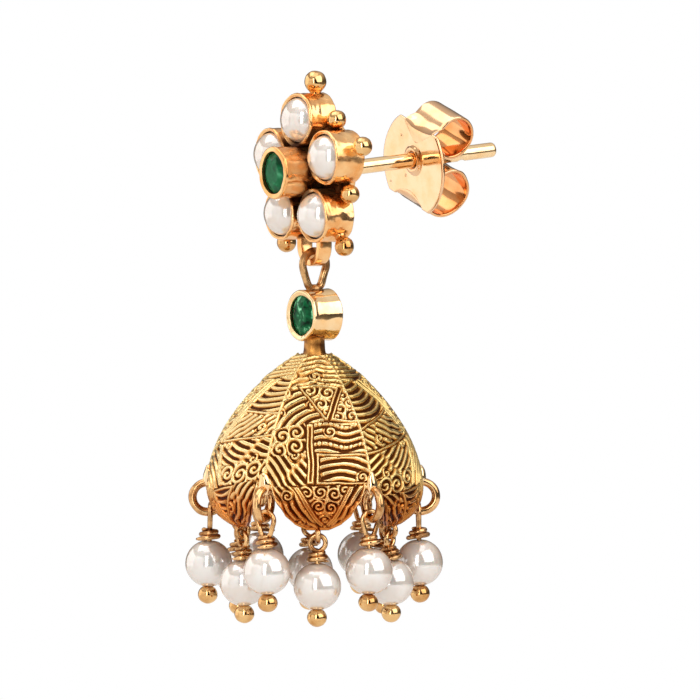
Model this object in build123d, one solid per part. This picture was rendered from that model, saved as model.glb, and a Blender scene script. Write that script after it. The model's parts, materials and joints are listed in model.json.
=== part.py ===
from build123d import *
import os
from math import asin, cos, radians, sin, sqrt

# Jhumka earring: a pearl and emerald flower stud on a straight post with a scroll back, and below it
# a swinging drop of an emerald collet, a six-lobed bell and twelve pearls on head pins.
# Millimetres. +Z is up, the flower faces -Y and the post points to +Y. The origin is on the post's
# axis, at the middle of the flower's flat back, where the earring sits against the lobe of the ear.

os.makedirs("parts", exist_ok=True)

# ---- Driving dimensions ----
GAP = 0.03                      # between pieces that touch without solder

# Flower
PETAL_ANGLES = [90, 18, -54, -126, 162]
PETAL_RING_R = 2.94             # post axis to each petal's centre
PETAL_COLLET_R = 1.58
PETAL_DEPTH = 1.9
PETAL_PEARL_R = 1.3
PETAL_PEARL_Y = -1.33           # centre of the pearl's dome
PEARL_SEAT_Y = -0.95
CENTRE_COLLET_R = 1.5
CENTRE_DEPTH = 3.43
CENTRE_STONE_R = 1.2
BACK_PLATE_R = 3.35             # the plate shows only in the crooks between the collets
BACK_PLATE_T = 0.6
TIP_GRANULE_RING_R = 5.08       # a granule outside each petal
CROOK_ANGLES = [54, -18, -162, 126]
CROOK_GRANULE_RING_R = 3.7      # and one in each crook but the lowest, where the bail is
GRANULE_NECK = (0.3, 0.75)      # radius and length of the solder neck under each granule
GRANULE_R = 0.55
TOP_GRANULE_R = 0.63
GRANULE_Y = -0.55

# Post, with the friction groove that stops the scroll back from working off. It rises a little to
# the back, because the drop's weight tips the flower forwards.
POST_TILT = 5
POST_R = 0.425
POST_LENGTH = 11.7
POST_ROUND = 0.2
GROOVE_Y = 9.4                  # middle of the groove, which is an arc in section
GROOVE_HALF_WIDTH = 0.3
GROOVE_DEPTH = 0.07

# Bail strap under the flower
BAIL_R = 1.2                    # outer radius of its U
BAIL_T = 0.4
BAIL_WIDTH = 0.84
BAIL_BOTTOM_Z = -5.33
BAIL_TOP_Z = -3.45

# Drop: everything below hangs on this vertical line
DROP_Y = -0.61
LOOP_WIRE_R = 0.22
LOOP_TOP_R = 0.78               # centre line of the loop's upper bend
LOOP_LOW_R = 0.5
LOOP_LOW_Z = -6.12
DROP_COLLET_Z = -8.1
DROP_COLLET_R = 1.47
DROP_COLLET_DEPTH = 1.95
DROP_STONE_R = 1.17
NECK_ACROSS = 1.08
APEX_Z = -10.25

# Bell: a row for each level below the apex. Outer and inner are the radii at the middle of a lobe,
# and crease is the radius between two lobes as a share of them.
BELL_ROWS = [
    # depth, outer, inner, crease
    (0.00, 0.90, None, 1.06),
    (0.45, 1.58, None, 1.03),
    (0.90, 2.25, 1.30, 1.00),
    (1.70, 3.16, 2.52, 0.99),
    (3.20, 4.49, 3.98, 0.98),
    (4.80, 5.52, 5.06, 0.972),
    (6.40, 6.14, 5.70, 0.965),
    (7.60, 6.32, 5.90, 0.955),
    (8.60, 6.08, 5.64, 0.945),
    (9.25, 5.55, 5.08, 0.94),
    (9.80, 4.75, 4.22, 0.935),
]
LOBES = 6
BELL_TURN = -1                  # the bell's small turn about the vertical, degrees
NOTCH_TOP_Z = -17.45
NOTCH_HALF_WIDTH = 0.5
LOBE_BOTTOM_Z = -19.93
LOBE_BOTTOM_T = 2.5             # sideways from a notch to the foot of the next lobe

# Rings in the notches and eyes under the lobes
RING_R = 0.84
RING_WIRE_R = 0.235
RING_AT_R = 6.05
RING_Z = -18.4
EYE_R = 0.37
EYE_WIRE_R = 0.15
EYE_AT_R = 4.78
EYE_Z = -20.11

# Pearls on head pins
PEARL_R = 1.33
PIN_WIRE_R = 0.14
PIN_BALL_R = 0.56
PIN_BALL_DROP = 1.76            # pearl's centre down to the ball's
WRAPS = [(0.46, 0.0), (0.34, 0.22)]     # centre line radius and height of each turn of the wrap
NOTCH_PEARL_AT_R = 5.88         # a little inside the rings' middles, so the loops ride up their wires
NOTCH_LOOP_RISE = 0.04
NOTCH_PEARL_Z = -22.15
NOTCH_LOOP_SIZE = (1.3, 1.72)   # outer width and height
LOBE_PEARL_Z = -23.03
LOBE_LOOP_SIZE = (1.15, 1.2)

# Scroll back
CLUTCH_Y = 6.25                 # middle of its plate
CLUTCH_TURN = 71                # from +X up to the line through its two scrolls, degrees
SHEET_T = 0.22
PLATE_R = 3.02
PLATE_AT = -0.3                 # the plate's disc is a little off the post, towards the lower arm
CLUTCH_HOLE_R = POST_R + 0.05
COLLAR_R = 0.85
COLLAR_HEIGHT = 0.18
ARM_WIDTH = 2.75
ARM_RISE = 50                   # degrees turned at the bend where an arm leaves the plate
BEND_R = 0.3
ARM_RUN = 0.9                   # straight part between the bend and the curl
ARMS = [(0, 1.78, 1.12), (180, 2.05, 1.3)]      # side, post axis to the bend, radius of the curl
CURL_TURN = 260
EDGE_GAP = 0.28                 # plate left beyond each bend


def rod(radius, y_from, y_to):
    """A round bar along Y."""
    middle = (y_from + y_to) / 2
    return Pos(0, middle, 0) * Rot(90, 0, 0) * Cylinder(radius, abs(y_to - y_from))


def belt_ring(top, low, wire_r):
    """A closed wire ring in the YZ plane: two bends, each (z, radius), joined by straight runs."""
    (top_z, top_r), (low_z, low_r) = top, low
    lean = asin((top_r - low_r) / (top_z - low_z))
    side, fall = cos(lean), (top_r - low_r) / (top_z - low_z)
    top_right = (0, top_r * side, top_z - top_r * fall)
    top_left = (0, -top_r * side, top_z - top_r * fall)
    low_right = (0, low_r * side, low_z - low_r * fall)
    low_left = (0, -low_r * side, low_z - low_r * fall)
    path = Wire([
        Edge.make_line(low_right, top_right),
        Edge.make_three_point_arc(top_right, (0, 0, top_z + top_r), top_left),
        Edge.make_line(top_left, low_left),
        Edge.make_three_point_arc(low_left, (0, 0, low_z - low_r), low_right),
    ])
    section = Plane(origin=path @ 0, z_dir=path % 0) * Circle(wire_r)
    return sweep(section, path)


def cut_stone(radius, girdle_y, table_y, culet_y):
    """A round stone facing -Y: table, crown, girdle and a blunt pavilion."""
    girdle_t = 0.08
    outline = Polyline(
        (0, table_y), (0.6 * radius, table_y), (radius, girdle_y - girdle_t / 2),
        (radius, girdle_y + girdle_t / 2), (0.15 * radius, culet_y), (0, culet_y), close=True,
    )
    return revolve(make_face(outline), Axis.Y)


def petal(angle):
    """Centre of a place on the flower's rings, as a location facing -Y."""
    return Rot(0, -angle, 0) * Pos(PETAL_RING_R, 0, 0)


def around_drop(angle, radius, z):
    """A place round the drop's vertical line: local X points outwards and local Y sideways."""
    return Pos(0, DROP_Y, 0) * Rot(0, 0, angle) * Pos(radius, 0, z)


def lobe_angles():
    return [-90 + BELL_TURN + 360 / LOBES * k for k in range(LOBES)]


def notch_angles():
    return [angle + 180 / LOBES for angle in lobe_angles()]


# ---- Flower stud ----
def stud_setting():
    plate = rod(BACK_PLATE_R, -BACK_PLATE_T, 0)
    for angle in PETAL_ANGLES:
        plate += petal(angle) * rod(PETAL_COLLET_R, -PETAL_DEPTH, 0)
    for angle in PETAL_ANGLES:
        plate -= petal(angle) * rod(PETAL_PEARL_R + GAP, -CENTRE_DEPTH - 1, PEARL_SEAT_Y + GAP)
    plate += rod(CENTRE_COLLET_R, -CENTRE_DEPTH, 0)
    plate -= rod(CENTRE_STONE_R + GAP, -CENTRE_DEPTH - 1, -CENTRE_DEPTH + 1.1)
    for angle in PETAL_ANGLES:
        plate += granule(angle, TIP_GRANULE_RING_R, TOP_GRANULE_R if angle == 90 else GRANULE_R)
    for angle in CROOK_ANGLES:
        plate += granule(angle, CROOK_GRANULE_RING_R, GRANULE_R)
    return plate + bail() + post()


def granule(angle, ring_r, radius):
    """A gold ball on its solder neck, at an angle on one of the flower's rings."""
    neck_r, neck_length = GRANULE_NECK
    neck_at = Pos(ring_r - neck_length / 2, GRANULE_Y, 0) * Rot(0, 90, 0)
    ball = Pos(ring_r, GRANULE_Y, 0) * Sphere(radius)
    return Rot(0, -angle, 0) * (ball + neck_at * Cylinder(neck_r, neck_length))


def bail():
    """A strap bent to a U, its legs soldered to the two lower collets."""
    centre_z = BAIL_BOTTOM_Z + BAIL_R
    leg = BAIL_TOP_Z - centre_z
    outside = Pos(0, centre_z) * Circle(BAIL_R) + Pos(0, centre_z + leg / 2) * Rectangle(2 * BAIL_R, leg)
    inner_r = BAIL_R - BAIL_T
    inside = Pos(0, centre_z) * Circle(inner_r) + Pos(0, centre_z + leg) * Rectangle(2 * inner_r, 2 * leg)
    keep = Pos(0, (BAIL_TOP_Z + BAIL_BOTTOM_Z) / 2) * Rectangle(3 * BAIL_R, BAIL_TOP_Z - BAIL_BOTTOM_Z)
    strap = extrude(Plane.XZ * ((outside - inside) & keep), BAIL_WIDTH / 2, both=True)
    return Pos(0, DROP_Y, 0) * strap


def post():
    bar = rod(POST_R, -BACK_PLATE_T / 2, POST_LENGTH)
    bar = fillet(bar.edges().sort_by(Axis.Y)[-1], POST_ROUND)
    arc_r = (GROOVE_HALF_WIDTH**2 + GROOVE_DEPTH**2) / (2 * GROOVE_DEPTH)
    groove = Pos(0, GROOVE_Y, 0) * Rot(90, 0, 0) * Torus(POST_R - GROOVE_DEPTH + arc_r, arc_r)
    return Rot(POST_TILT, 0, 0) * (bar - groove)


def petal_pearl(angle):
    dome = Pos(0, PETAL_PEARL_Y, 0) * Sphere(PETAL_PEARL_R)
    behind = rod(2 * PETAL_PEARL_R, PEARL_SEAT_Y, PEARL_SEAT_Y + 2 * PETAL_PEARL_R)
    return petal(angle) * (dome - behind)


def centre_stone():
    face = -CENTRE_DEPTH
    return cut_stone(CENTRE_STONE_R, face + 0.25, face - 0.05, face + 1.0)


# ---- Scroll back ----
def scroll_arm(bend_at, curl_r):
    """One arm: a strip that bends back off the plate, runs straight and curls round to the post."""
    rise = radians(ARM_RISE)
    level = Line((0.9, 0), (bend_at, 0))
    bend = JernArc(level @ 1, (1, 0), BEND_R, ARM_RISE)
    run = Line(bend @ 1, bend @ 1 + ARM_RUN * Vector(cos(rise), sin(rise)))
    curl = JernArc(run @ 1, run % 1, curl_r, CURL_TURN - ARM_RISE)
    strip = trace(Wire([level, bend, run, curl]), SHEET_T)
    return extrude(strip, ARM_WIDTH / 2, both=True)


def scroll_back():
    """Local X runs along the strip, local Z across it, and local Y back along the post."""
    upper, lower = (bend_at + EDGE_GAP for side, bend_at, curl_r in ARMS)
    band = Pos((upper - lower) / 2, 0) * Rectangle(upper + lower, 3 * PLATE_R)
    outline = (Pos(PLATE_AT, 0) * Circle(PLATE_R)) & band
    plate = extrude(Plane.XZ * outline, SHEET_T / 2, both=True)
    plate += rod(COLLAR_R, -COLLAR_HEIGHT - SHEET_T / 2, 0)
    for side, bend_at, curl_r in ARMS:
        plate += Rot(0, side, 0) * scroll_arm(bend_at, curl_r)
    plate -= rod(CLUTCH_HOLE_R, -2, 2)
    return Rot(POST_TILT, 0, 0) * Pos(0, CLUTCH_Y, 0) * Rot(0, -CLUTCH_TURN, 0) * plate


# ---- Drop ----
def lobed_outline(radius, crease, z):
    """A closed outline of six outward arcs that meet at the creases."""
    edges = []
    for angle in lobe_angles():
        start = Vector(radius * crease, 0, z).rotate(Axis.Z, angle - 180 / LOBES)
        middle = Vector(radius, 0, z).rotate(Axis.Z, angle)
        end = Vector(radius * crease, 0, z).rotate(Axis.Z, angle + 180 / LOBES)
        edges.append(Edge.make_three_point_arc(start, middle, end))
    return Face(Wire(edges))


def notch_cutter(angle):
    """Takes the metal between two lobes: a round-topped slot that flares along both lobe feet."""
    half, foot = NOTCH_HALF_WIDTH, LOBE_BOTTOM_T
    slot_z = NOTCH_TOP_Z - half
    below = LOBE_BOTTOM_Z - 1
    flare_t = foot - (foot - half) * cos(radians(45))
    flare_z = slot_z - (slot_z - LOBE_BOTTOM_Z) * sin(radians(45))
    outline = Wire([
        Edge.make_three_point_arc((-half, slot_z), (0, NOTCH_TOP_Z), (half, slot_z)),
        Edge.make_three_point_arc((half, slot_z), (flare_t, flare_z), (foot, LOBE_BOTTOM_Z)),
        Edge.make_line((foot, LOBE_BOTTOM_Z), (foot, below)),
        Edge.make_line((foot, below), (-foot, below)),
        Edge.make_line((-foot, below), (-foot, LOBE_BOTTOM_Z)),
        Edge.make_three_point_arc((-foot, LOBE_BOTTOM_Z), (-flare_t, flare_z), (-half, slot_z)),
    ])
    cutter = extrude(Plane.YZ * Face(outline), 5)
    return Rot(0, 0, angle) * Pos(3, 0, 0) * cutter


def bell():
    outer = [lobed_outline(row[1], row[3], APEX_Z - row[0]) for row in BELL_ROWS]
    inner = [lobed_outline(row[2], row[3], APEX_Z - row[0]) for row in BELL_ROWS if row[2]]
    shell = loft(outer) - loft(inner)
    for angle in notch_angles():
        shell -= notch_cutter(angle)
    return Pos(0, DROP_Y, 0) * shell


def drop_collet():
    back = DROP_Y + DROP_COLLET_DEPTH / 2
    cup = rod(DROP_COLLET_R, back - DROP_COLLET_DEPTH, back)
    cup -= rod(DROP_STONE_R + GAP, back - 2 * DROP_COLLET_DEPTH, back - DROP_COLLET_DEPTH + 1.1)
    return Pos(0, 0, DROP_COLLET_Z) * cup


def drop_stone():
    face = DROP_Y - DROP_COLLET_DEPTH / 2
    return Pos(0, 0, DROP_COLLET_Z) * cut_stone(DROP_STONE_R, face + 0.25, face, face + 1.0)


def neck():
    top = DROP_COLLET_Z - DROP_COLLET_R + 0.2
    low = APEX_Z - 0.4
    prism = extrude(RegularPolygon(NECK_ACROSS / 2, LOBES, major_radius=False), top - low)
    return Pos(0, DROP_Y, low) * Rot(0, 0, BELL_TURN) * prism


def hanging_loop():
    """The loop rests on the two inner edges of the bail strap, with the gap between them."""
    inside_r = LOOP_TOP_R - LOOP_WIRE_R - GAP
    edge_rise = sqrt(inside_r**2 - (BAIL_WIDTH / 2) ** 2)
    bend_z = BAIL_BOTTOM_Z + BAIL_T - edge_rise
    return Pos(0, DROP_Y, 0) * belt_ring((bend_z, LOOP_TOP_R), (LOOP_LOW_Z, LOOP_LOW_R), LOOP_WIRE_R)


def bell_drop():
    """Loop, collet, neck, bell, rings and eyes, soldered to one piece."""
    metal = bell() + neck() + drop_collet() + hanging_loop()
    for angle in notch_angles():
        metal += around_drop(angle, RING_AT_R, RING_Z) * Rot(90, 0, 0) * Torus(RING_R, RING_WIRE_R)
    for angle in lobe_angles():
        metal += around_drop(angle, EYE_AT_R, EYE_Z) * Rot(90, 0, 0) * Torus(EYE_R, EYE_WIRE_R)
    return metal


# ---- Pearls and head pins, each built about its own vertical axis with the pearl at the origin ----
def pearl():
    ball_seat = Pos(0, 0, -PIN_BALL_DROP) * Sphere(PIN_BALL_R + GAP)
    return Sphere(PEARL_R) - ball_seat - Cylinder(PIN_WIRE_R + GAP, 3 * PEARL_R)


def head_pin(loop_top, loop_size):
    """Ball, stem, wraps and an oval loop whose outer top is loop_top above the pearl's centre."""
    width, height = loop_size
    bend_r = width / 2 - PIN_WIRE_R
    low_r = 0.6 * bend_r
    loop_low = loop_top - height
    pin = Pos(0, 0, -PIN_BALL_DROP) * Sphere(PIN_BALL_R)
    stem_top = loop_low + PIN_WIRE_R
    stem = Cylinder(PIN_WIRE_R, stem_top + PIN_BALL_DROP, align=(Align.CENTER, Align.CENTER, Align.MIN))
    pin += Pos(0, 0, -PIN_BALL_DROP) * stem
    wrap_z = PEARL_R + GAP + PIN_WIRE_R
    for wrap_r, rise in WRAPS:
        turn_of_wire = Torus(wrap_r, PIN_WIRE_R) + Cylinder(wrap_r, PIN_WIRE_R)
        pin += Pos(0, 0, wrap_z + rise) * turn_of_wire
    top = (loop_top - PIN_WIRE_R - bend_r, bend_r)
    low = (loop_low + PIN_WIRE_R + low_r, low_r)
    return pin + belt_ring(top, low, PIN_WIRE_R)


def hanging_pins():
    """Named pearls and pins in their places, hung on the notch rings and the lobe eyes."""
    notch_top = RING_Z - RING_R + RING_WIRE_R + NOTCH_LOOP_RISE + GAP + 2 * PIN_WIRE_R
    lobe_top = EYE_Z - EYE_R + EYE_WIRE_R + GAP + 2 * PIN_WIRE_R
    groups = [
        ("notch", notch_angles(), NOTCH_PEARL_AT_R, NOTCH_PEARL_Z, notch_top, NOTCH_LOOP_SIZE),
        ("lobe", lobe_angles(), EYE_AT_R, LOBE_PEARL_Z, lobe_top, LOBE_LOOP_SIZE),
    ]
    placed = {}
    for group, angles, radius, pearl_z, loop_top_z, loop_size in groups:
        pin = head_pin(loop_top_z - pearl_z, loop_size)
        for number, angle in enumerate(angles, 1):
            place = around_drop(angle, radius, pearl_z)
            placed[f"{group}_pearl_{number}"] = place * pearl()
            placed[f"{group}_pin_{number}"] = place * pin
    return placed


nodes = {
    "stud_setting": stud_setting(),
    "centre_stone": centre_stone(),
    "scroll_back": scroll_back(),
    "bell_drop": bell_drop(),
    "drop_stone": drop_stone(),
    **{f"petal_pearl_{k}": petal_pearl(angle) for k, angle in enumerate(PETAL_ANGLES, 1)},
    **hanging_pins(),
}
for name, shape in nodes.items():
    export_step(shape, f"parts/{name}.step")
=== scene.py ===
import bpy
import json
import numpy as np
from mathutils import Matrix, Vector


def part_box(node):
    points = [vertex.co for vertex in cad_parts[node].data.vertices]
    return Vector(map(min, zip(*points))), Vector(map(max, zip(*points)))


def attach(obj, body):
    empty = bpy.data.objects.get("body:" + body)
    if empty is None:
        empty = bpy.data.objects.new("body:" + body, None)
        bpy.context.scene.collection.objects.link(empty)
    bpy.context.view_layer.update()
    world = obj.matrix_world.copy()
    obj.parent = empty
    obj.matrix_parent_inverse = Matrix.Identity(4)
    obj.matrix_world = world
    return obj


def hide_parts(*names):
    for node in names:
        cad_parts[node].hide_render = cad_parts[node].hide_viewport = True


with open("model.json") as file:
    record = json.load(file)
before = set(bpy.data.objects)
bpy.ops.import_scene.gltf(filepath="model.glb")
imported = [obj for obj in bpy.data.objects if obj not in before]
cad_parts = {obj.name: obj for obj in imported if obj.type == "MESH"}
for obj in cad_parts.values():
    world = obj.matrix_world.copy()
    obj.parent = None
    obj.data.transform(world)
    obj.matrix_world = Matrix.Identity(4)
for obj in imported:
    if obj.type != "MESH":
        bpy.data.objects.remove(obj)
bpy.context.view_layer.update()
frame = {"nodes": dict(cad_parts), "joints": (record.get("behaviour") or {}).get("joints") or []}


print("frame loaded", len(frame["nodes"]), "nodes")

# Everything below is worked out in millimetres in the row frame and written to meshes in metres.
mm = 0.001

swing = next(j for j in frame["joints"] if j["name"] == "drop_swing")
slide = next(j for j in frame["joints"] if j["name"] == "clutch_slide")
dropAt = np.array([0.0, swing["pos_m"][1] / mm, 0.0])   # the drop's vertical line
postLine = np.array(slide["axis"])                      # the way the post points
postRise = np.degrees(np.arctan2(postLine[2], postLine[1]))
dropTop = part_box("bell_drop")[1][2] / mm


def unit(v):
    # v / |v|, row by row
    return v / np.maximum(np.linalg.norm(v, axis=-1, keepdims=True), 1e-12)


def turned(points, axis, degrees):
    # Rodrigues: p cos a + (k x p) sin a + k (k.p)(1 - cos a), for a unit axis k and an angle a
    k, a = unit(np.array(axis, float)), np.radians(degrees)
    along = (points @ k)[..., None] * k
    return points * np.cos(a) + np.cross(k, points) * np.sin(a) + along * (1 - np.cos(a))


def moved(shell, shift=(0, 0, 0), turns=()):
    # the shell turned by each (axis, degrees) in order, then shifted
    verts, quads, tris = shell
    for axis, degrees in turns:
        verts = turned(verts, axis, degrees)
    return verts + np.array(shift, float), quads, tris


def scaled(shell, factors):
    # x, y and z each times its factor
    return shell[0] * factors, shell[1], shell[2]


def facing(shell, at):
    # a shell lathed about +Z, laid over so that its +Z looks along -Y, and put in place
    return moved(shell, at, [((1, 0, 0), 90)])


def smoothStep(low, high, x):
    # 3 t^2 - 2 t^3 of the share t = (x - low) / (high - low), held to 0..1; low may be the larger
    t = np.clip((x - low) / (high - low), 0, 1)
    return t * t * (3 - 2 * t)


def outward(shell):
    # six times the signed volume is the sum of p0 . (p1 x p2) over the triangles; turned round if negative
    verts, quads, tris = shell
    p = verts[np.concatenate([quads[:, [0, 1, 2]], quads[:, [0, 2, 3]], tris])]
    volume = np.einsum("ij,ij->i", p[:, 0], np.cross(p[:, 1], p[:, 2])).sum()
    return (verts, quads[:, ::-1], tris[:, ::-1]) if volume < 0 else shell


def gridQuads(rows, columns, wrapRows, wrapColumns):
    # the four corners of each cell of a grid whose point (i, j) has number i * columns + j
    i = np.arange(rows if wrapRows else rows - 1)
    j = np.arange(columns if wrapColumns else columns - 1)
    a, b = (m.ravel() for m in np.meshgrid(i, j, indexing="ij"))
    a1, b1 = (a + 1) % rows, (b + 1) % columns
    return np.stack([a * columns + b, a1 * columns + b, a1 * columns + b1, a * columns + b1], -1)


def fan(ring, pole):
    # triangles (ring i, ring i + 1, pole) from a closed ring of point numbers
    return np.stack([ring, np.roll(ring, -1), np.full(len(ring), pole)], -1)


def ringShell(points, closed=False, poles=None):
    # a stack of closed rings (rings, around, 3); an open stack is closed by a pole at each end, by default
    # at the middle of its end ring
    rings, around = points.shape[:2]
    verts = points.reshape(-1, 3)
    quads = gridQuads(rings, around, closed, True)
    tris = np.zeros((0, 3), int)
    if not closed:
        ends = points[[0, -1]].mean(1) if poles is None else poles
        first, last = np.arange(around), np.arange(around) + (rings - 1) * around
        verts = np.concatenate([verts, ends])
        tris = np.concatenate([fan(first, len(verts) - 2), fan(last, len(verts) - 1)[:, ::-1]])
    return outward((verts, quads, tris))


def lathe(profile, around):
    # profile rows (r, h) carried round Z: (r cos t, r sin t, h); its ends close in a pole on the axis
    profile = np.array(profile, float)
    t = np.linspace(0, 2 * np.pi, around, endpoint=False)
    ends = np.column_stack([np.zeros((2, 2)), profile[[0, -1], 1]])
    rows = profile[profile[:, 0] > 1e-4]
    points = np.stack([rows[:, None, 0] * np.cos(t), rows[:, None, 0] * np.sin(t),
                       np.repeat(rows[:, 1:2], around, 1)], -1)
    return ringShell(points, poles=ends)


def roundedProfile(corners, radii, steps):
    # straight runs whose corners are rounded by curves (1-t)^2 start + 2t(1-t) corner + t^2 end, each
    # starting and ending at its reach from the corner
    corners = np.array(corners, float)
    rows = [corners[:1]]
    for before, corner, after, reach in zip(corners[:-2], corners[1:-1], corners[2:], radii):
        start = corner + unit(before - corner) * reach
        end = corner + unit(after - corner) * reach
        t = np.linspace(0, 1, steps if reach else 1)[:, None]
        rows.append((1 - t) ** 2 * start + 2 * t * (1 - t) * corner + t ** 2 * end)
    return np.concatenate([*rows, corners[-1:]])


def ball(radius, around):
    # sphere (R cos b cos t, R cos b sin t, R sin b)
    b = np.linspace(-np.pi / 2, np.pi / 2, around // 2 + 1)
    return lathe(np.stack([radius * np.cos(b), radius * np.sin(b)], -1), around)


def sweep(path, section, lean, closed=False, scale=None):
    # section points (a, b) carried along a path: p + a N + b B, with N the part of lean square to the
    # path, B = T x N, and an optional scale for each path point
    path = np.array(path, float)
    if closed:
        tangent = unit(np.roll(path, -1, 0) - np.roll(path, 1, 0))
    else:
        tangent = unit(np.gradient(path, axis=0))
    lean = np.array(lean, float)
    normal = unit(lean - (tangent @ lean)[:, None] * tangent)
    side = np.cross(tangent, normal)
    size = np.ones(len(path)) if scale is None else np.array(scale, float)
    a = section[None, :, 0, None] * size[:, None, None]
    b = section[None, :, 1, None] * size[:, None, None]
    return ringShell(path[:, None] + a * normal[:, None] + b * side[:, None], closed)


def dome(radius, low, around):
    # the part of a sphere above height low, closed by a flat disc
    b = np.linspace(np.arcsin(low / radius), np.pi / 2, around // 3)
    rim = radius * np.cos(b[0])
    rows = np.stack([radius * np.cos(b), radius * np.sin(b)], -1)
    return lathe(np.concatenate([[(0, low), (0.5 * rim, low), (0.97 * rim, low)], rows]), around)


def roundSection(radius, sides):
    # a wire's section, the circle (R cos t, R sin t)
    t = np.linspace(0, 2 * np.pi, sides, endpoint=False)
    return np.stack([radius * np.cos(t), radius * np.sin(t)], -1)


def strapSection(width, thickness, corner, steps=4):
    # a rectangle with rounded corners; its thickness lies along a and its width along b
    t = np.linspace(0, np.pi / 2, steps)
    quarter = np.stack([corner * np.cos(t), corner * np.sin(t)], -1)
    half = np.array([thickness / 2 - corner, width / 2 - corner])
    turns = [(1, 1), (-1, 1), (-1, -1), (1, -1)]
    parts = [(quarter if sx * sy > 0 else quarter[::-1]) * (sx, sy) + half * (sx, sy) for sx, sy in turns]
    return np.concatenate(parts)


def roundedEnds(count, steps=5):
    # scale of a wire along its length: a quarter circle at each end, 1 between
    t = np.linspace(0.15, np.pi / 2, steps)
    return np.concatenate([np.sin(t), np.ones(count - 2 * steps), np.sin(t)[::-1]])


def beltPath(topZ, topR, lowZ, lowR, count=96):
    # a closed line in the YZ plane round two circles: two bends and the two straight lines that touch both
    fall = (topR - lowR) / (topZ - lowZ)
    lean = np.arcsin(fall)
    over = np.linspace(-lean, np.pi + lean, count // 2)
    under = np.linspace(np.pi + lean, 2 * np.pi - lean, count // 4)
    run = np.linspace(0, 1, count // 8 + 2)[1:-1, None]
    bend = topR * np.stack([np.cos(over), np.sin(over)], -1) + (0, topZ)
    foot = lowR * np.stack([np.cos(under), np.sin(under)], -1) + (0, lowZ)
    down = bend[-1] + (foot[0] - bend[-1]) * run
    up = foot[-1] + (bend[0] - foot[-1]) * run
    line = np.concatenate([bend, down, foot, up])
    return np.column_stack([np.zeros(len(line)), line])


def joined(shells):
    # several shells as one, each one's point numbers counted on from the last
    verts, quads, tris, count = [], [], [], 0
    for v, q, t in shells:
        verts.append(v)
        quads.append(q + count)
        tris.append(t + count)
        count += len(v)
    return np.concatenate(verts), np.concatenate(quads), np.concatenate(tris)


def unevenness(points, size, seed):
    # a smooth random field: the mean of eight sine waves of random direction and phase, each about size long
    rng = np.random.default_rng(seed)
    waves = rng.normal(size=(8, 3)) * 2 * np.pi / size * 0.6
    phase = rng.uniform(0, 2 * np.pi, 8)
    return np.sin(points @ waves.T + phase).mean(-1)


def handMade(shell, amount, size, seed):
    # each point moved by amount times a smooth random vector
    verts, quads, tris = shell
    push = np.stack([unevenness(verts, size, seed + k) for k in range(3)], -1)
    return verts + amount * push * 1.6, quads, tris


def feed(tree, node, values):
    # each value is a number or colour for that input of the node, or the socket that drives it
    for key, value in values.items():
        if isinstance(value, bpy.types.NodeSocket):
            tree.links.new(value, node.inputs[key])
        else:
            node.inputs[key].default_value = value


def addNode(tree, kind, values=None, **settings):
    node = tree.nodes.new(kind)
    for key, value in settings.items():
        setattr(node, key, value)
    feed(tree, node, values or {})
    return node


def newGroup(name, inputs, outputs):
    # sockets as {label: default}: a tuple makes a colour socket and a number a plain one
    group = bpy.data.node_groups.new(name, "ShaderNodeTree")
    for way, sockets in (("INPUT", inputs), ("OUTPUT", outputs)):
        for label, value in sockets.items():
            kind = "NodeSocketColor" if isinstance(value, tuple) else "NodeSocketFloat"
            group.interface.new_socket(label, in_out=way, socket_type=kind).default_value = value
    return group, addNode(group, "NodeGroupInput").outputs, addNode(group, "NodeGroupOutput")


def objectPlace(tree):
    return addNode(tree, "ShaderNodeTexCoord").outputs["Object"]


def attribute(tree, name):
    return addNode(tree, "ShaderNodeAttribute", attribute_name=name).outputs["Fac"]


def noise(tree, place, scale, detail, **more):
    values = {"Vector": place, "Scale": scale, "Detail": detail, **more}
    return addNode(tree, "ShaderNodeTexNoise", values).outputs["Fac"]


def maths(tree, way, *terms, clamp=False):
    return addNode(tree, "ShaderNodeMath", dict(enumerate(terms)), operation=way, use_clamp=clamp).outputs[0]


def remapped(tree, value, low, high, toLow=0.0, toHigh=1.0):
    values = {"Value": value, "From Min": low, "From Max": high, "To Min": toLow, "To Max": toHigh}
    return addNode(tree, "ShaderNodeMapRange", values).outputs["Result"]


def blended(tree, share, first, second, way="MIX"):
    # a Mix node keeps its colour sockets at inputs 6 and 7 and output 2
    values = {0: share, 6: first, 7: second}
    return addNode(tree, "ShaderNodeMix", values, data_type="RGBA", blend_type=way).outputs[2]


def ramped(tree, value, stops):
    # colour ramp through (position, colour) stops
    node = addNode(tree, "ShaderNodeValToRGB", {"Fac": value})
    marks = node.color_ramp.elements
    marks[0].position, marks[0].color = stops[0]
    marks[1].position, marks[1].color = stops[-1]
    for position, colour in stops[1:-1]:
        marks.new(position).color = colour
    return node.outputs["Color"]


def bumped(tree, height, strength, distance):
    values = {"Height": height, "Strength": strength, "Distance": distance}
    return addNode(tree, "ShaderNodeBump", values).outputs["Normal"]


def makeHandWork():
    # soft hammering and fine polish lines: two noises make a height, a third breaks up the roughness
    group, source, result = newGroup(
        "handWork",
        {"Dent Scale": 900.0, "Dent Depth": 0.5, "Line Scale": 5000.0, "Line Depth": 0.1,
         "Smooth": 0.12, "Rough": 0.3},
        {"Height": 0.0, "Roughness": 0.0})
    place = objectPlace(group)
    dents = noise(group, place, source["Dent Scale"], 1.5, Roughness=0.5)
    lines = noise(group, place, source["Line Scale"], 3.0, Distortion=0.6)
    smudges = noise(group, place, 420.0, 4.0)
    hammered = maths(group, "MULTIPLY", dents, source["Dent Depth"])
    feed(group, result, {
        "Height": maths(group, "MULTIPLY_ADD", lines, source["Line Depth"], hammered),
        "Roughness": remapped(group, smudges, 0.35, 0.7, source["Smooth"], source["Rough"])})
    return group


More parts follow.
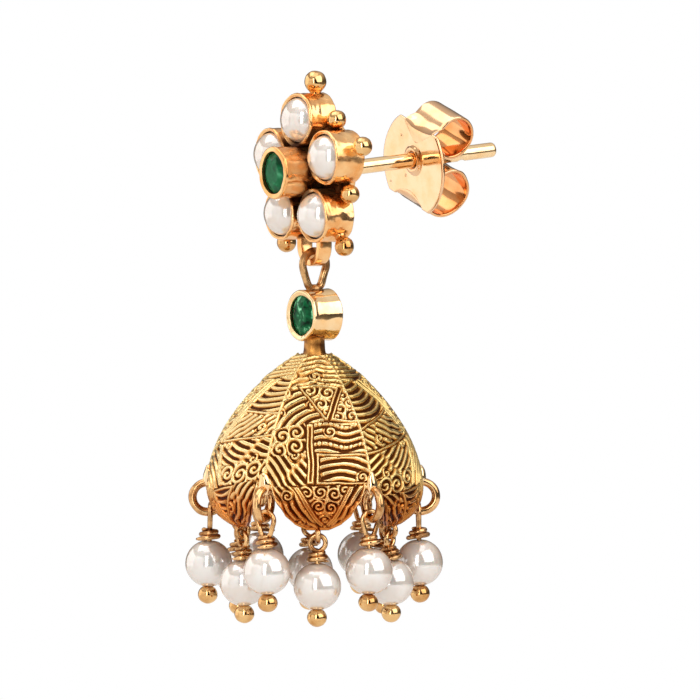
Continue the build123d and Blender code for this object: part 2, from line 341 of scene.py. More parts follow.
def makeTintShadeAndReflection():
    # metal colour darkened towards a near-black where a point attribute is high, broken up by noise: real
    # grime on the wires and the loop, painted shade in the crooks, in the cups and on hidden faces; where
    # gold faces gold, a second attribute multiplies the colour by itself, a painted reflection of gold in
    # gold
    group, source, result = newGroup(
        "tintShadeAndReflection",
        {"Metal": (1, 1, 1, 1), "Warm": (1, 1, 1, 1), "Grime And Shade": (0, 0, 0, 1), "Scale": 1500.0},
        {"Color": (0, 0, 0, 1), "Bare Metal": 1.0})
    cloud = noise(group, objectPlace(group), source["Scale"], 4.0, Roughness=0.6)
    metal = blended(group, remapped(group, cloud, 0.4, 0.66), source["Metal"], source["Warm"])
    # painted reflection: gold facing gold has its colour multiplied by itself
    reflectedGold = blended(group, attribute(group, "goldOnGoldReflection"), metal, metal, "MULTIPLY")
    # grime, and painted shade where shade falls: the share darkened to the near-black
    grimeAndShade = maths(group, "MULTIPLY_ADD", cloud, 0.5, attribute(group, "grimeAndShade"))
    grimeAndShadeShare = remapped(group, grimeAndShade, 0.55, 1.0)
    feed(group, result, {
        "Color": blended(group, grimeAndShadeShare, reflectedGold, source["Grime And Shade"]),
        "Bare Metal": maths(group, "SUBTRACT", 1.0, grimeAndShadeShare)})
    return group


handWork = makeHandWork()
tintShadeAndReflection = makeTintShadeAndReflection()


def newMaterial(name, values):
    material = bpy.data.materials.new(name)
    material.use_nodes = True
    tree = material.node_tree
    shader = tree.nodes["Principled BSDF"]
    feed(tree, shader, values)
    return material, tree, shader


def goldMaterial(name, look):
    # worked gold: the tint group gives the colour, with its grime, painted shade and painted gold reflection,
    # hand work the bump and the roughness, rougher where grime and painted shade darken it
    material, tree, shader = newMaterial(name, {"Metallic": 1.0, "Specular IOR Level": 0.6})
    tint = ("Metal", "Warm", "Grime And Shade", "Scale")
    finish = ("Dent Scale", "Dent Depth", "Line Scale", "Line Depth", "Smooth", "Rough")
    colour = addNode(tree, "ShaderNodeGroup", {key: look[key] for key in tint}, node_tree=tintShadeAndReflection).outputs
    work = addNode(tree, "ShaderNodeGroup", {key: look[key] for key in finish}, node_tree=handWork).outputs
    grimeAndShadeRough = maths(tree, "MULTIPLY_ADD", colour["Bare Metal"], -look["Darkened Rough"], look["Darkened Rough"])
    feed(tree, shader, {
        "Base Color": colour["Color"],
        "Roughness": maths(tree, "ADD", work["Roughness"], grimeAndShadeRough, clamp=True),
        "Normal": bumped(tree, work["Height"], look["Bump"], 0.0001)})
    return material


# each look's near-black is the colour that grime and painted shade darken the metal towards
polishedLook = {
    "Metal": (0.97, 0.60, 0.28, 1), "Warm": (0.87, 0.40, 0.13, 1), "Grime And Shade": (0.07, 0.022, 0.007, 1),
    "Scale": 800.0, "Dent Scale": 1200.0, "Dent Depth": 0.6, "Line Scale": 7000.0, "Line Depth": 0.05,
    "Smooth": 0.13, "Rough": 0.30, "Darkened Rough": 0.45, "Bump": 0.45}
burnishedLook = {
    **polishedLook, "Metal": (1.0, 0.74, 0.43, 1), "Warm": (0.97, 0.61, 0.28, 1),
    "Dent Scale": 500.0, "Dent Depth": 0.35, "Smooth": 0.07, "Rough": 0.18, "Bump": 0.15}
sheetLook = {
    **burnishedLook, "Metal": (0.91, 0.61, 0.37, 1), "Warm": (0.88, 0.53, 0.27, 1),
    "Smooth": 0.08, "Rough": 0.16, "Bump": 0.1}
wireLook = {
    **polishedLook, "Metal": (0.86, 0.53, 0.24, 1), "Warm": (0.38, 0.16, 0.05, 1),
    "Grime And Shade": (0.08, 0.03, 0.012, 1), "Scale": 1300.0, "Smooth": 0.12, "Rough": 0.30, "Bump": 0.3}
granuleLook = {
    **polishedLook, "Metal": (0.86, 0.55, 0.24, 1), "Warm": (0.56, 0.25, 0.07, 1),
    "Smooth": 0.06, "Rough": 0.16, "Bump": 0.15}

polishedGold = goldMaterial("polished gold", polishedLook)
granuleGold = goldMaterial("bright granule gold", granuleLook)
burnishedGold = goldMaterial("burnished sheet gold", burnishedLook)
sheetGold = goldMaterial("satin sheet gold", sheetLook)
wireGold = goldMaterial("worn wire gold", wireLook)

# the ramp's dark end is the recesses' old grime deepened by painted shade; low is the painted shade at the
# lobes' feet; the dulling colour is partly painted shade, on the right-hand lobe
antiqueLook = {
    "stops": [
        (0.10, (0.09, 0.024, 0.005, 1)), (0.36, (0.76, 0.36, 0.09, 1)), (0.70, (1.0, 0.77, 0.39, 1))],
    "olive": (0.86, 0.80, 0.52, 1), "patinaAndShade": (0.66, 0.62, 0.46, 1), "low": (0.70, 0.35, 0.17, 1),
    "cloudScale": 260.0, "cloudShare": 0.35, "cloudMean": 0.17, "olivePatches": (0.45, 0.7, 0.0, 0.55),
    "grainScale": 9000.0, "bump": (0.12, 0.00005), "roughness": (0.1, 0.8, 0.5, 0.24)}


def antiqueMaterial(look):
    # chased gold: the relief attribute runs the colour from dark recess to bright ridge, the recesses dark
    # with old grime and with painted shade; noise adds olive;
    # it is redder towards the lobes' feet, painted shade where they turn down, and duller by a per-point
    # share, a dull film of age and, on the right-hand lobe, painted shade
    material, tree, shader = newMaterial("antique chased gold", {"Metallic": 1.0, "Specular IOR Level": 0.5})
    place, relief = objectPlace(tree), attribute(tree, "relief")
    cloud = noise(tree, place, look["cloudScale"], 5.0, Roughness=0.6)
    grain = noise(tree, place, look["grainScale"], 3.0)
    worn = maths(tree, "MULTIPLY_ADD", cloud, look["cloudShare"], relief)
    # the ramp's dark end is old grime in the recesses deepened by painted shade
    colour = ramped(tree, maths(tree, "SUBTRACT", worn, look["cloudMean"]), look["stops"])
    patches = remapped(tree, cloud, *look["olivePatches"])
    colour = blended(tree, patches, colour, look["olive"], "MULTIPLY")
    # painted shade: redder where the lobes' feet turn down
    colour = blended(tree, attribute(tree, "foot"), colour, look["low"], "MULTIPLY")
    # dulled by a per-point share: a dull film of age, and painted shade on the right-hand lobe
    colour = blended(tree, attribute(tree, "patinaAndShade"), colour, look["patinaAndShade"], "MULTIPLY")
    feed(tree, shader, {
        "Base Color": colour,
        "Roughness": remapped(tree, relief, *look["roughness"]),
        "Normal": bumped(tree, grain, *look["bump"])})
    return material


antiqueGold = antiqueMaterial(antiqueLook)

pearlLook = {
    "cream": (0.75, 0.73, 0.70, 1), "rose": (0.70, 0.62, 0.55, 1), "rim": (0.55, 0.37, 0.24, 1),
    "cloudScale": 520.0, "rosePatches": (0.4, 0.62), "paintedLimbShare": 0.35,
    "skinScale": 2500.0, "bump": (0.06, 0.0001),
    "body": {"Roughness": 0.17, "IOR": 1.8, "Specular IOR Level": 1.0, "Subsurface Weight": 0.1,
             "Subsurface Scale": 0.0004},
    "coat": {"Coat Weight": 1.0, "Coat Roughness": 0.1, "Coat IOR": 2.7}}


def pearlMaterial(look):
    # nacre: cream and rose in soft clouds, browner at the limb, a painted warm reflection of the gold about
    # it, with a clear coat over a satin body
    material, tree, shader = newMaterial("pearl nacre", {**look["body"], **look["coat"]})
    place = objectPlace(tree)
    cloud = noise(tree, place, look["cloudScale"], 3.0, Distortion=0.8)
    skin = noise(tree, place, look["skinScale"], 2.0)
    body = blended(tree, remapped(tree, cloud, *look["rosePatches"]), look["cream"], look["rose"])
    # painted reflection: the limb, as it turns from the view, takes a warm brown
    limb = addNode(tree, "ShaderNodeLayerWeight", {"Blend": look["paintedLimbShare"]}).outputs["Facing"]
    feed(tree, shader, {
        "Base Color": blended(tree, limb, body, look["rim"]), "Normal": bumped(tree, skin, *look["bump"])})
    return material


pearlNacre = pearlMaterial(pearlLook)


def emeraldMaterial(name, look):
    # green beryl: clear glass whose colour drifts with the stone's inner clouds and, by a random point
    # attribute, with painted sparkle, light green spots that stand in for the play of light from facet to
    # facet
    material, tree, shader = newMaterial(name, {
        "Roughness": 0.05, "IOR": 1.58, "Specular IOR Level": look["shine"],
        "Transmission Weight": look["clear"]})
    cloud = noise(tree, objectPlace(tree), look["cloudScale"], 4.0, Distortion=1.0)
    lit = maths(tree, "MULTIPLY_ADD", attribute(tree, "paintedSparkle"), look["paintedSparkle"], cloud)
    feed(tree, shader, {"Base Color": ramped(tree, lit, look["stops"])})
    return material


# each ramp's top stop is the light green of the painted sparkle
flowerEmerald = emeraldMaterial("flower emerald", {
    "stops": [
        (0.46, (0.003, 0.045, 0.016, 1)), (0.78, (0.013, 0.18, 0.065, 1)), (0.98, (0.10, 0.45, 0.22, 1))],
    "clear": 0.2, "shine": 0.03, "cloudScale": 1300.0, "paintedSparkle": 0.3})
dropEmerald = emeraldMaterial("drop emerald", {
    "stops": [
        (0.52, (0.0, 0.014, 0.005, 1)), (0.80, (0.006, 0.15, 0.05, 1)), (1.0, (0.35, 0.95, 0.55, 1))],
    "clear": 0.1, "shine": 0.03, "cloudScale": 2200.0, "paintedSparkle": 0.36})
print("materials made")


def makePiece(name, shell, material, body, stands, values=None, flat=False):
    # one mesh from a shell, with point values as float attributes, riding on a body and standing for nodes
    verts, quads, tris = shell
    corners = np.concatenate([quads.ravel(), tris.ravel()])
    starts = np.concatenate([np.arange(len(quads)) * 4, len(quads) * 4 + np.arange(len(tris)) * 3])
    mesh = bpy.data.meshes.new(name)
    mesh.vertices.add(len(verts))
    mesh.vertices.foreach_set("co", (verts * mm).astype(np.float32).ravel())
    mesh.loops.add(len(corners))
    mesh.polygons.add(len(starts))
    mesh.polygons.foreach_set("loop_start", starts.astype(np.int32))
    mesh.polygons.foreach_set("vertices", corners.astype(np.int32))
    mesh.update(calc_edges=True)
    mesh.polygons.foreach_set("use_smooth", np.full(len(starts), not flat))
    for label, array in (values or {}).items():
        layer = mesh.attributes.new(label, "FLOAT", "POINT")
        layer.data.foreach_set("value", np.asarray(array, np.float32))
    mesh.materials.append(material)
    piece = bpy.data.objects.new(name, mesh)
    bpy.context.scene.collection.objects.link(piece)
    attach(piece, body)
    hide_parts(*stands)


def studPiece(name, shell, material, values=None):
    # gold that is soldered into the stud
    makePiece(name, shell, material, "stud", ["stud_setting"], values)


def dropPiece(name, shell, material, values=None):
    # gold that is soldered into the drop
    makePiece(name, shell, material, "drop", ["bell_drop"], values)


flower = {
    "petalAngles": [90, 18, -54, -126, 162], "petalRing": 2.94, "petalR": 1.56, "petalDepth": 1.9,
    "petalSeat": 0.96, "pearlR": 1.33, "pearlY": -1.33, "pearlSeatY": -0.95, "holdR": 1.31,
    "centreR": 1.5, "centreDepth": 3.43, "centreSeat": 2.4, "stoneR": 1.2, "stoneSink": 0.28,
    "plateR": 3.35, "plateT": 0.6, "solderRise": 0.35,
    "tipRing": 5.08, "crookAngles": [54, -18, -162, 126], "crookRing": 3.7,
    "granuleR": 0.55, "topGranuleR": 0.63, "granuleY": -0.55, "granuleNeckR": 0.30,
    "crookWidth": 0.55, "pearlUneven": 0.014}
# the hand that shaped every collet: its wall's waist and flare, and how far its rim wavers, sags and narrows
colletHand = {
    "waist": 0.06, "flare": 0.03, "waver": 0.05, "sag": 0.035, "narrow": 0.04, "waves": (2, 3, 5, 7, 11, 17),
    "dentSize": 0.75, "smallDentSize": 0.35, "rounding": [0.06, 0.3, 0.12, 0.08, 0.05, 0.04, 0.05]}


def petalAt(angle, ring, y=0.0):
    # a place in the flower: (r cos a, y, r sin a)
    a = np.radians(angle)
    return np.array([ring * np.cos(a), y, ring * np.sin(a)])


def collet(outerR, depth, holdR, seat, seed, rim=0.11, dent=0.04, lip=0.07, base=0.06):
    # a cup lathed about Z, its mouth up: the wall waists a little and flares to a soft rim, and the rim
    # wavers by a few sines of the angle, sin (k t + p) / k^0.7; dents are a smooth random push on the wall
    hand = colletHand
    waistR = outerR - hand["waist"]
    profile = roundedProfile(
        [(0, base), (outerR - 0.02, base), (waistR, 0.55 * depth), (waistR + 0.01, depth - 0.3),
         (waistR + 0.01 + hand["flare"], depth - 0.06), (outerR - rim, depth + 0.02), (holdR, depth - lip),
         (holdR + 0.02, seat), (0, seat)],
        hand["rounding"], 6)
    verts, quads, tris = lathe(refined(profile, 18), 96)
    t, radius = np.arctan2(verts[:, 1], verts[:, 0]), np.hypot(verts[:, 0], verts[:, 1])
    phase = np.random.default_rng(seed).uniform(0, 2 * np.pi, 6)
    waves = sum(np.sin(k * t + p) / k ** 0.7 for k, p in zip(hand["waves"], phase)) / 2.4
    sag = np.cos(t - phase[0]) + 0.5 * np.cos(2 * t + phase[2])
    atRim = smoothStep(depth - 0.4, depth - 0.02, verts[:, 2]) * smoothStep(0.3, 0.9, radius)
    verts[:, :2] *= (1 - hand["narrow"] * waves * atRim)[:, None]
    verts[:, 2] += (hand["waver"] * waves + hand["sag"] * sag) * atRim
    onWall = smoothStep(outerR - 0.3, outerR - 0.15, radius)
    knock = unevenness(verts, hand["dentSize"], seed + 90)
    knock = knock + 0.6 * unevenness(verts, hand["smallDentSize"], seed + 95)
    verts[:, :2] *= (1 + dent * knock * onWall / outerR)[:, None]
    return handMade((verts, quads, tris), 0.02, 1.3, seed + 50)


def insideCup(verts, radius, depth):
    # 1 well down inside a collet that faces -Y, 0 outside and on its back: where shade is painted in the cup
    return smoothStep(-depth + 0.02, -depth + 0.28, verts[:, 1]) * (radius > 0) * (verts[:, 1] < -0.4)


def refined(profile, steps):
    # the same profile with its long runs cut into shorter ones
    profile = np.array(profile, float)
    length = np.concatenate([[0], np.cumsum(np.linalg.norm(np.diff(profile, axis=0), axis=1))])
    extra = np.linspace(0, length[-1], steps * 3)
    at = np.unique(np.round(np.concatenate([length, extra]), 4))
    return np.stack([np.interp(at, length, profile[:, 0]), np.interp(at, length, profile[:, 1])], -1)


def paintedShadeInCrooks(verts, skip=None):
    # painted shade where two collets stand close: a bell curve of the gap to the nearest other collet, less
    # at the rims and none on the back
    angles = flower["petalAngles"]
    others = [(petalAt(a, flower["petalRing"]), flower["petalR"]) for a in angles if a != skip]
    if skip != "centre":
        others.append((np.zeros(3), flower["centreR"]))
    gap = np.min([np.hypot(verts[:, 0] - c[0], verts[:, 2] - c[2]) - r for c, r in others], axis=0)
    depth = -verts[:, 1] / flower["petalDepth"]
    fade = 0.95 if skip == "centre" else 0.5
    near = np.exp(-(gap / flower["crookWidth"]) ** 2)
    return near * np.clip(1.25 - fade * depth, 0, 1) * (verts[:, 1] < -0.2)


def flowerCollet(name, cup, at, innerR, depth, skip):
    # a collet in its place, with painted shade in the crooks beside it and down in its cup
    cup = facing(cup, at)
    inner = np.hypot(cup[0][:, 0] - at[0], cup[0][:, 2] - at[2]) < innerR
    grimeAndShade = np.maximum(paintedShadeInCrooks(cup[0], skip), insideCup(cup[0], inner, depth))
    studPiece(name, cup, polishedGold, {"grimeAndShade": grimeAndShade})


def makeFlower():
    # five collets round a taller one, a pearl in each of the five: a dome a little out of round
    for number, angle in enumerate(flower["petalAngles"], 1):
        cup = collet(flower["petalR"], flower["petalDepth"], flower["holdR"], flower["petalSeat"], number)
        flowerCollet(f"petal_collet_{number}", cup, petalAt(angle, flower["petalRing"]),
                     flower["holdR"] + 0.05, flower["petalDepth"], angle)
        low = flower["pearlY"] - flower["pearlSeatY"]
        verts, quads, tris = dome(flower["pearlR"], low, 56)
        verts = verts * (1 + flower["pearlUneven"] * unevenness(verts, 2.2, number)[:, None])
        button = facing((verts, quads, tris), petalAt(angle, flower["petalRing"], flower["pearlY"]))
        makePiece(f"button_pearl_{number}", button, pearlNacre, "stud", [f"petal_pearl_{number}"])
    cup = collet(flower["centreR"], flower["centreDepth"], flower["stoneR"] - 0.03, flower["centreSeat"], 11,
                 rim=0.1, dent=0.015, lip=0.0)
    flowerCollet("centre_collet", cup, (0, 0, 0), flower["stoneR"] + 0.02, flower["centreDepth"], "centre")
    print("collets and button pearls made")


def makeBackPlate():
    # a disc with a flat back, whose face rises as a low cone of solder to the middle, and is uneven
    plateR, plateT = flower["plateR"], flower["plateT"]
    profile = roundedProfile(
        [(0, 0), (plateR, 0), (plateR - 0.05, plateT), (0, plateT + flower["solderRise"])], [0.1, 0.2], 5)
    plate = facing(lathe(refined(profile, 16), 96), (0, 0, 0))
    plate = handMade(plate, 0.03, 0.9, 70)
    verts = plate[0]
    verts[:, 1] = np.minimum(verts[:, 1], 0)
    # painted shade: the whole front face, behind and between the collets, is darkened
    studPiece("back_plate", plate, polishedGold, {"grimeAndShade": smoothStep(-0.2, -0.5, verts[:, 1])})


def granule(radius, seed):
    # a ball on a solder neck that widens by the square of the way down, its top along +Z and its middle at
    # the origin
    b = np.linspace(np.pi / 2, -0.9, 22)
    balls = np.stack([radius * np.cos(b), radius * np.sin(b)], -1)
    h = np.linspace(-0.95, -1.5, 6) * radius
    necks = np.stack([flower["granuleNeckR"] + 0.16 * ((h / radius + 1.05) / 0.45) ** 2, h], -1)
    return handMade(lathe(np.concatenate([balls, necks]), 28), 0.02, 0.8, seed)


def makeGranules():
    shells = []
    places = [(a, flower["tipRing"], flower["granuleR"]) for a in flower["petalAngles"]]
    places += [(a, flower["crookRing"], flower["granuleR"]) for a in flower["crookAngles"]]
    for number, (angle, ring, radius) in enumerate(places):
        radius = flower["topGranuleR"] if angle == 90 else radius
        bead = granule(radius, 20 + number)
        shells.append(moved(bead, petalAt(angle, ring, flower["granuleY"]), [((0, 1, 0), 90 - angle)]))
    shell = joined(shells)
    inner = np.hypot(shell[0][:, 0], shell[0][:, 2])
    # painted shade: the inner sides of the granules in the crooks, between the collets, are darkened
    studPiece("granules", shell, granuleGold, {"grimeAndShade": 0.75 * smoothStep(3.7, 3.1, inner)})
    print("back plate and granules made")


post = {
    "radius": 0.425, "length": 11.7, "sunk": 0.3, "grooveAt": 9.4, "grooveHalf": 0.3, "grooveDepth": 0.07,
    "tip": 0.2, "footR": 0.8, "footH": 0.4}


def makePost():
    # the bar's radius dips by an arc's depth, d (1 - (s / w)^2), over the groove
    r, end, w = post["radius"], post["length"], post["grooveHalf"]
    s = np.linspace(-w, w, 9)
    groove = np.stack([r - post["grooveDepth"] * (1 - (s / w) ** 2), post["grooveAt"] + s], -1)
    tip = roundedProfile([(r, end - 2 * post["tip"]), (r, end), (0, end)], [post["tip"]], 7)
    bar = lathe(refined(np.concatenate([[(0, -post["sunk"]), (r, -post["sunk"])], groove, tip]), 30), 40)
    toPost = [((1, 0, 0), -90 + postRise)]                # +Z to the post's line
    bar = moved(bar, turns=toPost)
    # a foot of solder that climbs the bar
    footR, footH = post["footR"], post["footH"]
    foot = roundedProfile([(0, 0), (footR, 0), (0.5, 0.16), (0.4, footH), (0, footH)], [0.02, 0.2, 0.05], 6)
    foot = handMade(moved(lathe(foot, 40), (0, -0.02, 0), toPost), 0.02, 0.7, 5)
    studPiece("ear_post", joined([bar, foot]), burnishedGold)


bail = {"radius": 1.2, "thickness": 0.4, "width": 0.84, "bottomZ": -5.33, "topZ": -3.45}


def makeBail():
    # a U of strap in the XZ plane: down one leg, round half a circle, up the other
    middleR = bail["radius"] - bail["thickness"] / 2
    centreZ = bail["bottomZ"] + bail["radius"]
    t = np.linspace(np.pi, 2 * np.pi, 30)
    legs = np.linspace(bail["topZ"], centreZ, 8)[:-1]
    x = np.concatenate([np.full(7, -middleR), middleR * np.cos(t), np.full(7, middleR)])
    z = np.concatenate([legs, centreZ + middleR * np.sin(t), legs[::-1]])
    path = np.stack([x, np.full(len(x), dropAt[1]), z], -1)
    strap = sweep(path, strapSection(bail["thickness"], bail["width"], 0.08), (0, 1, 0))
    strap = handMade(strap, 0.02, 1.0, 31)
    # painted shade: the strap darkens towards its top, where it runs up under the flower
    studPiece("bail_strap", strap, polishedGold, {"grimeAndShade": 0.8 * smoothStep(-4.0, -3.6, strap[0][:, 2])})
    print("post and bail made")


def brilliant(radius, tableR, tableH, middleR, middleH, crownH, girdleT, pavilionH):
    # a round cut: table octagon, star and kite facets down to the girdle, sixteen facets to the culet; the
    # table and middle radii are shares of the stone's, the middle height a share of the crown's
    k8, k16 = np.arange(8), np.arange(16)

    def ring(r, h, turn, count):
        t = 2 * np.pi * (np.arange(count) + turn) / count
        return np.stack([r * np.cos(t), r * np.sin(t), np.full(count, h)], -1)

    table = ring(tableR * radius, tableH, 0, 8)
    middle = ring(middleR * radius, crownH + (tableH - crownH) * middleH, 0.5, 8)
    girdle, under = ring(radius, crownH, 0, 16), ring(radius, crownH - girdleT, 0, 16)
    verts = np.concatenate([table, middle, girdle, under, [[0, 0, tableH]], [[0, 0, -pavilionH]]])
    m, g, u, top, culet = 8, 16, 32, 48, 49
    kites = np.stack([k8, m + k8, g + 2 * k8, m + (k8 - 1) % 8], -1)
    belt = np.stack([g + k16, g + (k16 + 1) % 16, u + (k16 + 1) % 16, u + k16], -1)
    stars = np.stack([k8, (k8 + 1) % 8, m + k8], -1)
    upperA = np.stack([m + k8, g + 2 * k8, g + 2 * k8 + 1], -1)
    upperB = np.stack([m + k8, g + 2 * k8 + 1, g + (2 * k8 + 2) % 16], -1)
    quads = turnedOut(verts, np.concatenate([kites, belt]))
    tris = turnedOut(verts, np.concatenate([stars, upperA, upperB, fan(k8, top), fan(u + k16, culet)]))
    return verts, quads, tris


def turnedOut(verts, faces):
    # faces of a convex body, each reversed where its normal points towards the origin
    p = verts[faces]
    normal = np.cross(p[:, 1] - p[:, 0], p[:, 2] - p[:, 0])
    inward = np.einsum("ij,ij->i", normal, p.mean(1)) < 0
    return np.where(inward[:, None], faces[:, ::-1], faces)


stoneCut = {
    "tableR": 0.56, "tableH": 0.30, "middleR": 0.80, "middleH": 0.48, "crownH": 0.04, "girdleT": 0.07,
    "pavilionH": 0.72}


def makeStone(name, node, material, at, radius, body, turn):
    # a cut stone facing -Y, with a seeded painted-sparkle value at each of its points
    cut = brilliant(radius, **stoneCut)
    shell = facing(moved(cut, turns=[((0, 0, 1), turn)]), at)
    paintedSparkle = np.random.default_rng(turn).uniform(0, 1, len(cut[0]))
    makePiece(name, shell, material, body, [node], {"paintedSparkle": paintedSparkle}, flat=True)


clutch = {
    "at": 6.25, "turn": 71, "sheet": 0.2, "radius": 3.02, "offset": -0.3, "hole": 0.475, "collarR": 0.85,
    "collarH": 0.18, "armWidth": 2.75, "armThickness": 0.192, "armCorner": 0.07, "rootOverlap": 0.12,
    "endBow": 0.14, "pitDepth": 0.06, "saddle": 0.010 / 9,
    "pits": [(-1.2, 0.55, 0.09), (-2.1, 1.9, 0.1), (0.95, 1.4, 0.08)],
    # each arm: where the plate is cut, how far its bend dips into the plate, and its line (along the strip,
    # back from the plate): a bend, a slack run and a curl round to the post
    "upper": {"cut": 2.06, "dip": 0.78, "line": [
        (1.14, 0.0), (1.5, 0.05), (1.86, 0.25), (2.2, 0.62), (2.6, 1.02), (2.83, 1.55), (2.74, 2.1),
        (2.32, 2.6), (1.72, 2.82), (1.12, 2.68), (0.72, 2.2), (0.58, 1.6), (0.68, 1.0)]},
    "lower": {"cut": 2.55, "dip": 0.4, "line": [
        (1.98, 0.0), (2.2, 0.04), (2.45, 0.2), (2.75, 0.55), (3.0, 1.0), (3.1, 1.5), (2.98, 2.1), (2.6, 2.65),
        (2.0, 3.0), (1.4, 2.96), (0.88, 2.65), (0.6, 2.15), (0.57, 1.55), (0.7, 1.1)]}}


def onPost(shell):
    # from the scroll back's own frame (X along the strip, Y back along the post) to its place on the post
    placed = moved(shell, (0, clutch["at"], 0), [((0, 1, 0), -clutch["turn"])])
    return moved(placed, turns=[((1, 0, 0), postRise)])


def plateEdge(t):
    # radius of the plate at angle t: a circle whose centre is a little off the hole, r = c cos t +
    # sqrt(R^2 - c^2 sin^2 t), cut off square at both arms with an arc dipping in where each arm leaves
    x, z, off = np.cos(t), np.sin(t), clutch["offset"]
    edge = off * x + np.sqrt(clutch["radius"] ** 2 - (off * z) ** 2)
    for arm, side in ((clutch["upper"], 1), (clutch["lower"], -1)):
        reach = np.where(x * side > 1e-3, x * side, 1e-3)
        edge = np.minimum(edge, arm["cut"] / reach)
        across = edge * z / (clutch["armWidth"] / 2)
        root = arm["line"][0][0] + arm["dip"] * across ** 2
        edge = np.where((np.abs(across) < 1) & (x * side > 0), np.minimum(edge, root / reach), edge)
    return edge


def clutchPlate():
    # a closed band round the hole: from the hole's wall over the front face, round the edge and back again;
    # the front rises to a collar by a smooth step of the distance from the hole, and has a few pits
    t = np.linspace(0, 2 * np.pi, 360, endpoint=False)
    edge, hole, half = plateEdge(t), clutch["hole"], clutch["sheet"] / 2
    share = np.linspace(0, 1, 26)
    rows = []
    for s in share:                                              # front, hole to edge
        r = hole + (edge - half - hole) * s
        collar = clutch["collarH"] * smoothStep(clutch["collarR"] + 0.06, clutch["collarR"] - 0.22, r)
        collar = collar - 0.5 * clutch["collarH"] * smoothStep(hole + 0.12, hole, r)
        rows.append((r, -half - collar))
    for a in np.linspace(-np.pi / 2, np.pi / 2, 7)[1:-1]:        # rounded edge
        rows.append((edge - half + half * np.cos(a), half * np.sin(a) + 0 * edge))
    for s in share[::-1]:                                        # back, edge to hole
        rows.append((hole + (edge - half - hole) * s, half + 0 * edge))
    points = np.stack([np.stack([r * np.cos(t), h, r * np.sin(t)], -1) for r, h in rows])
    plate = ringShell(points, closed=True)
    verts = plate[0]
    for x, z, size in clutch["pits"]:
        verts[:, 1] += clutch["pitDepth"] * np.exp(-(np.hypot(verts[:, 0] - x, verts[:, 2] - z) / size) ** 2)
    verts[:, 1] += clutch["saddle"] * (verts[:, 0] ** 2 - verts[:, 2] ** 2)
    return plate


def scrollArm(arm):
    # a strip swept along the arm's line; its root follows the plate's dipped edge, so each point is drawn out
    # along the strip by dip * across^2, fading evenly up the bend; the free end sags a little by the post
    points = np.array(arm["line"], float)
    knots = np.concatenate([[0], np.cumsum(np.hypot(*np.diff(points, axis=0).T))])
    at = np.linspace(0, knots[-1], 96)
    path = np.stack([splineThrough(knots, column, at) for column in points.T] + [0 * at], -1)
    path = np.concatenate([[path[0] - (clutch["rootOverlap"], 0, 0)], path])
    # the section's two long sides get points along them, so that the strip can bow across its width
    section = strapSection(clutch["armWidth"], clutch["armThickness"], clutch["armCorner"])
    after = np.roll(section, -1, 0)
    isSide = np.linalg.norm(after - section, axis=1) > clutch["armWidth"] / 2
    share = np.linspace(0, 1, 14)[1:-1, None]
    sides = [a + (b - a) * share for a, b in zip(section[isSide], after[isSide])]
    section = np.concatenate([section, *sides])
    section = section[np.argsort(np.arctan2(section[:, 1], section[:, 0]))]
    verts, quads, tris = sweep(path, section[:, ::-1], (0, 0, 1))
    across = verts[:, 2] / (clutch["armWidth"] / 2)
    fade = 1.5 * arm["dip"]
    root = np.clip((points[0, 0] + fade - verts[:, 0]) / fade, 0, 1) * smoothStep(1.1, 0.8, verts[:, 1])
    end = smoothStep(1.1, 0.6, verts[:, 0]) * smoothStep(0.7, 1.1, verts[:, 1])
    verts[:, 0] += arm["dip"] * across ** 2 * root - clutch["endBow"] * across ** 2 * end
    # inside the curl gold faces gold; there, and a little over all the arms, the colour is deepened as a
    # painted reflection of gold in gold
    isInner = np.concatenate([np.tile(section[:, 0] < 0, len(path)), [0, 0]])
    return (verts, quads, tris), 0.15 + 0.75 * isInner * smoothStep(0.5, 1.6, verts[:, 1])


def makeScrollBack():
    plate = clutchPlate()
    upper, upperGoldReflection = scrollArm(clutch["upper"])
    lower, lowerGoldReflection = scrollArm(clutch["lower"])
    lower = moved(lower, turns=[((0, 1, 0), 180)])
    shell = handMade(onPost(joined([plate, upper, lower])), 0.012, 2.2, 91)
    # painted reflection of gold in gold: none on the plate, each arm's own share on its arm
    goldOnGoldReflection = np.concatenate([np.zeros(len(plate[0])), upperGoldReflection, lowerGoldReflection])
    makePiece("scroll_back_gold", shell, sheetGold, "scroll_back", ["scroll_back"],
              {"goldOnGoldReflection": goldOnGoldReflection})
    print("scroll back made")


bell = {
    "apexZ": -10.25, "turn": -1, "lobes": 6,
    "depth": [0.0, 0.45, 0.9, 1.7, 3.2, 4.8, 6.4, 7.6, 8.6, 9.25, 9.8],
    "outer": [0.90, 1.58, 2.25, 3.16, 4.49, 5.52, 6.14, 6.32, 6.08, 5.55, 4.75],
    "crease": [1.06, 1.03, 1.0, 0.99, 0.98, 0.972, 0.965, 0.955, 0.945, 0.94, 0.935],
    "wall": 0.42, "relief": 0.17, "proud": 0.02, "lip": 0.08, "columns": 174, "rows": 272,
    "innerRows": 26, "innerTop": 14,
    # the lobe's rows are level down to the bend and then squeezed to its scalloped foot
    "bendDepth": 6.6, "footDepth": 9.68, "footR": 6.1,
    # how the ornament wanders (how far, over what size), its slant and how dull each lobe is, heaviest on the
    # right-hand lobe as painted shade; duller near the apex, and redder near the foot as painted shade
    "seed": 7, "wander": [(0.07, 1.6), (0.02, 0.45)], "curls": 16, "curlGap": 1.15, "curlPitch": 0.25,
    "slant": [0.22, 0.0, -0.2, 0.3, -0.35, 0.4], "mirrored": [2, 4, 5],
    "slantFrom": (0.5, 3.0), "slantTo": (11.5, 9.0), "edgeRelief": 0.7, "insideRelief": 0.4,
    "patinaAndShade": [0.0, 0.1, 0.8, 0.6, 0.5, 0.3], "dullTop": (3.4, 1.2), "paintedShadeFoot": (6.6, 8.6)}
halfLobe = 180 / bell["lobes"]
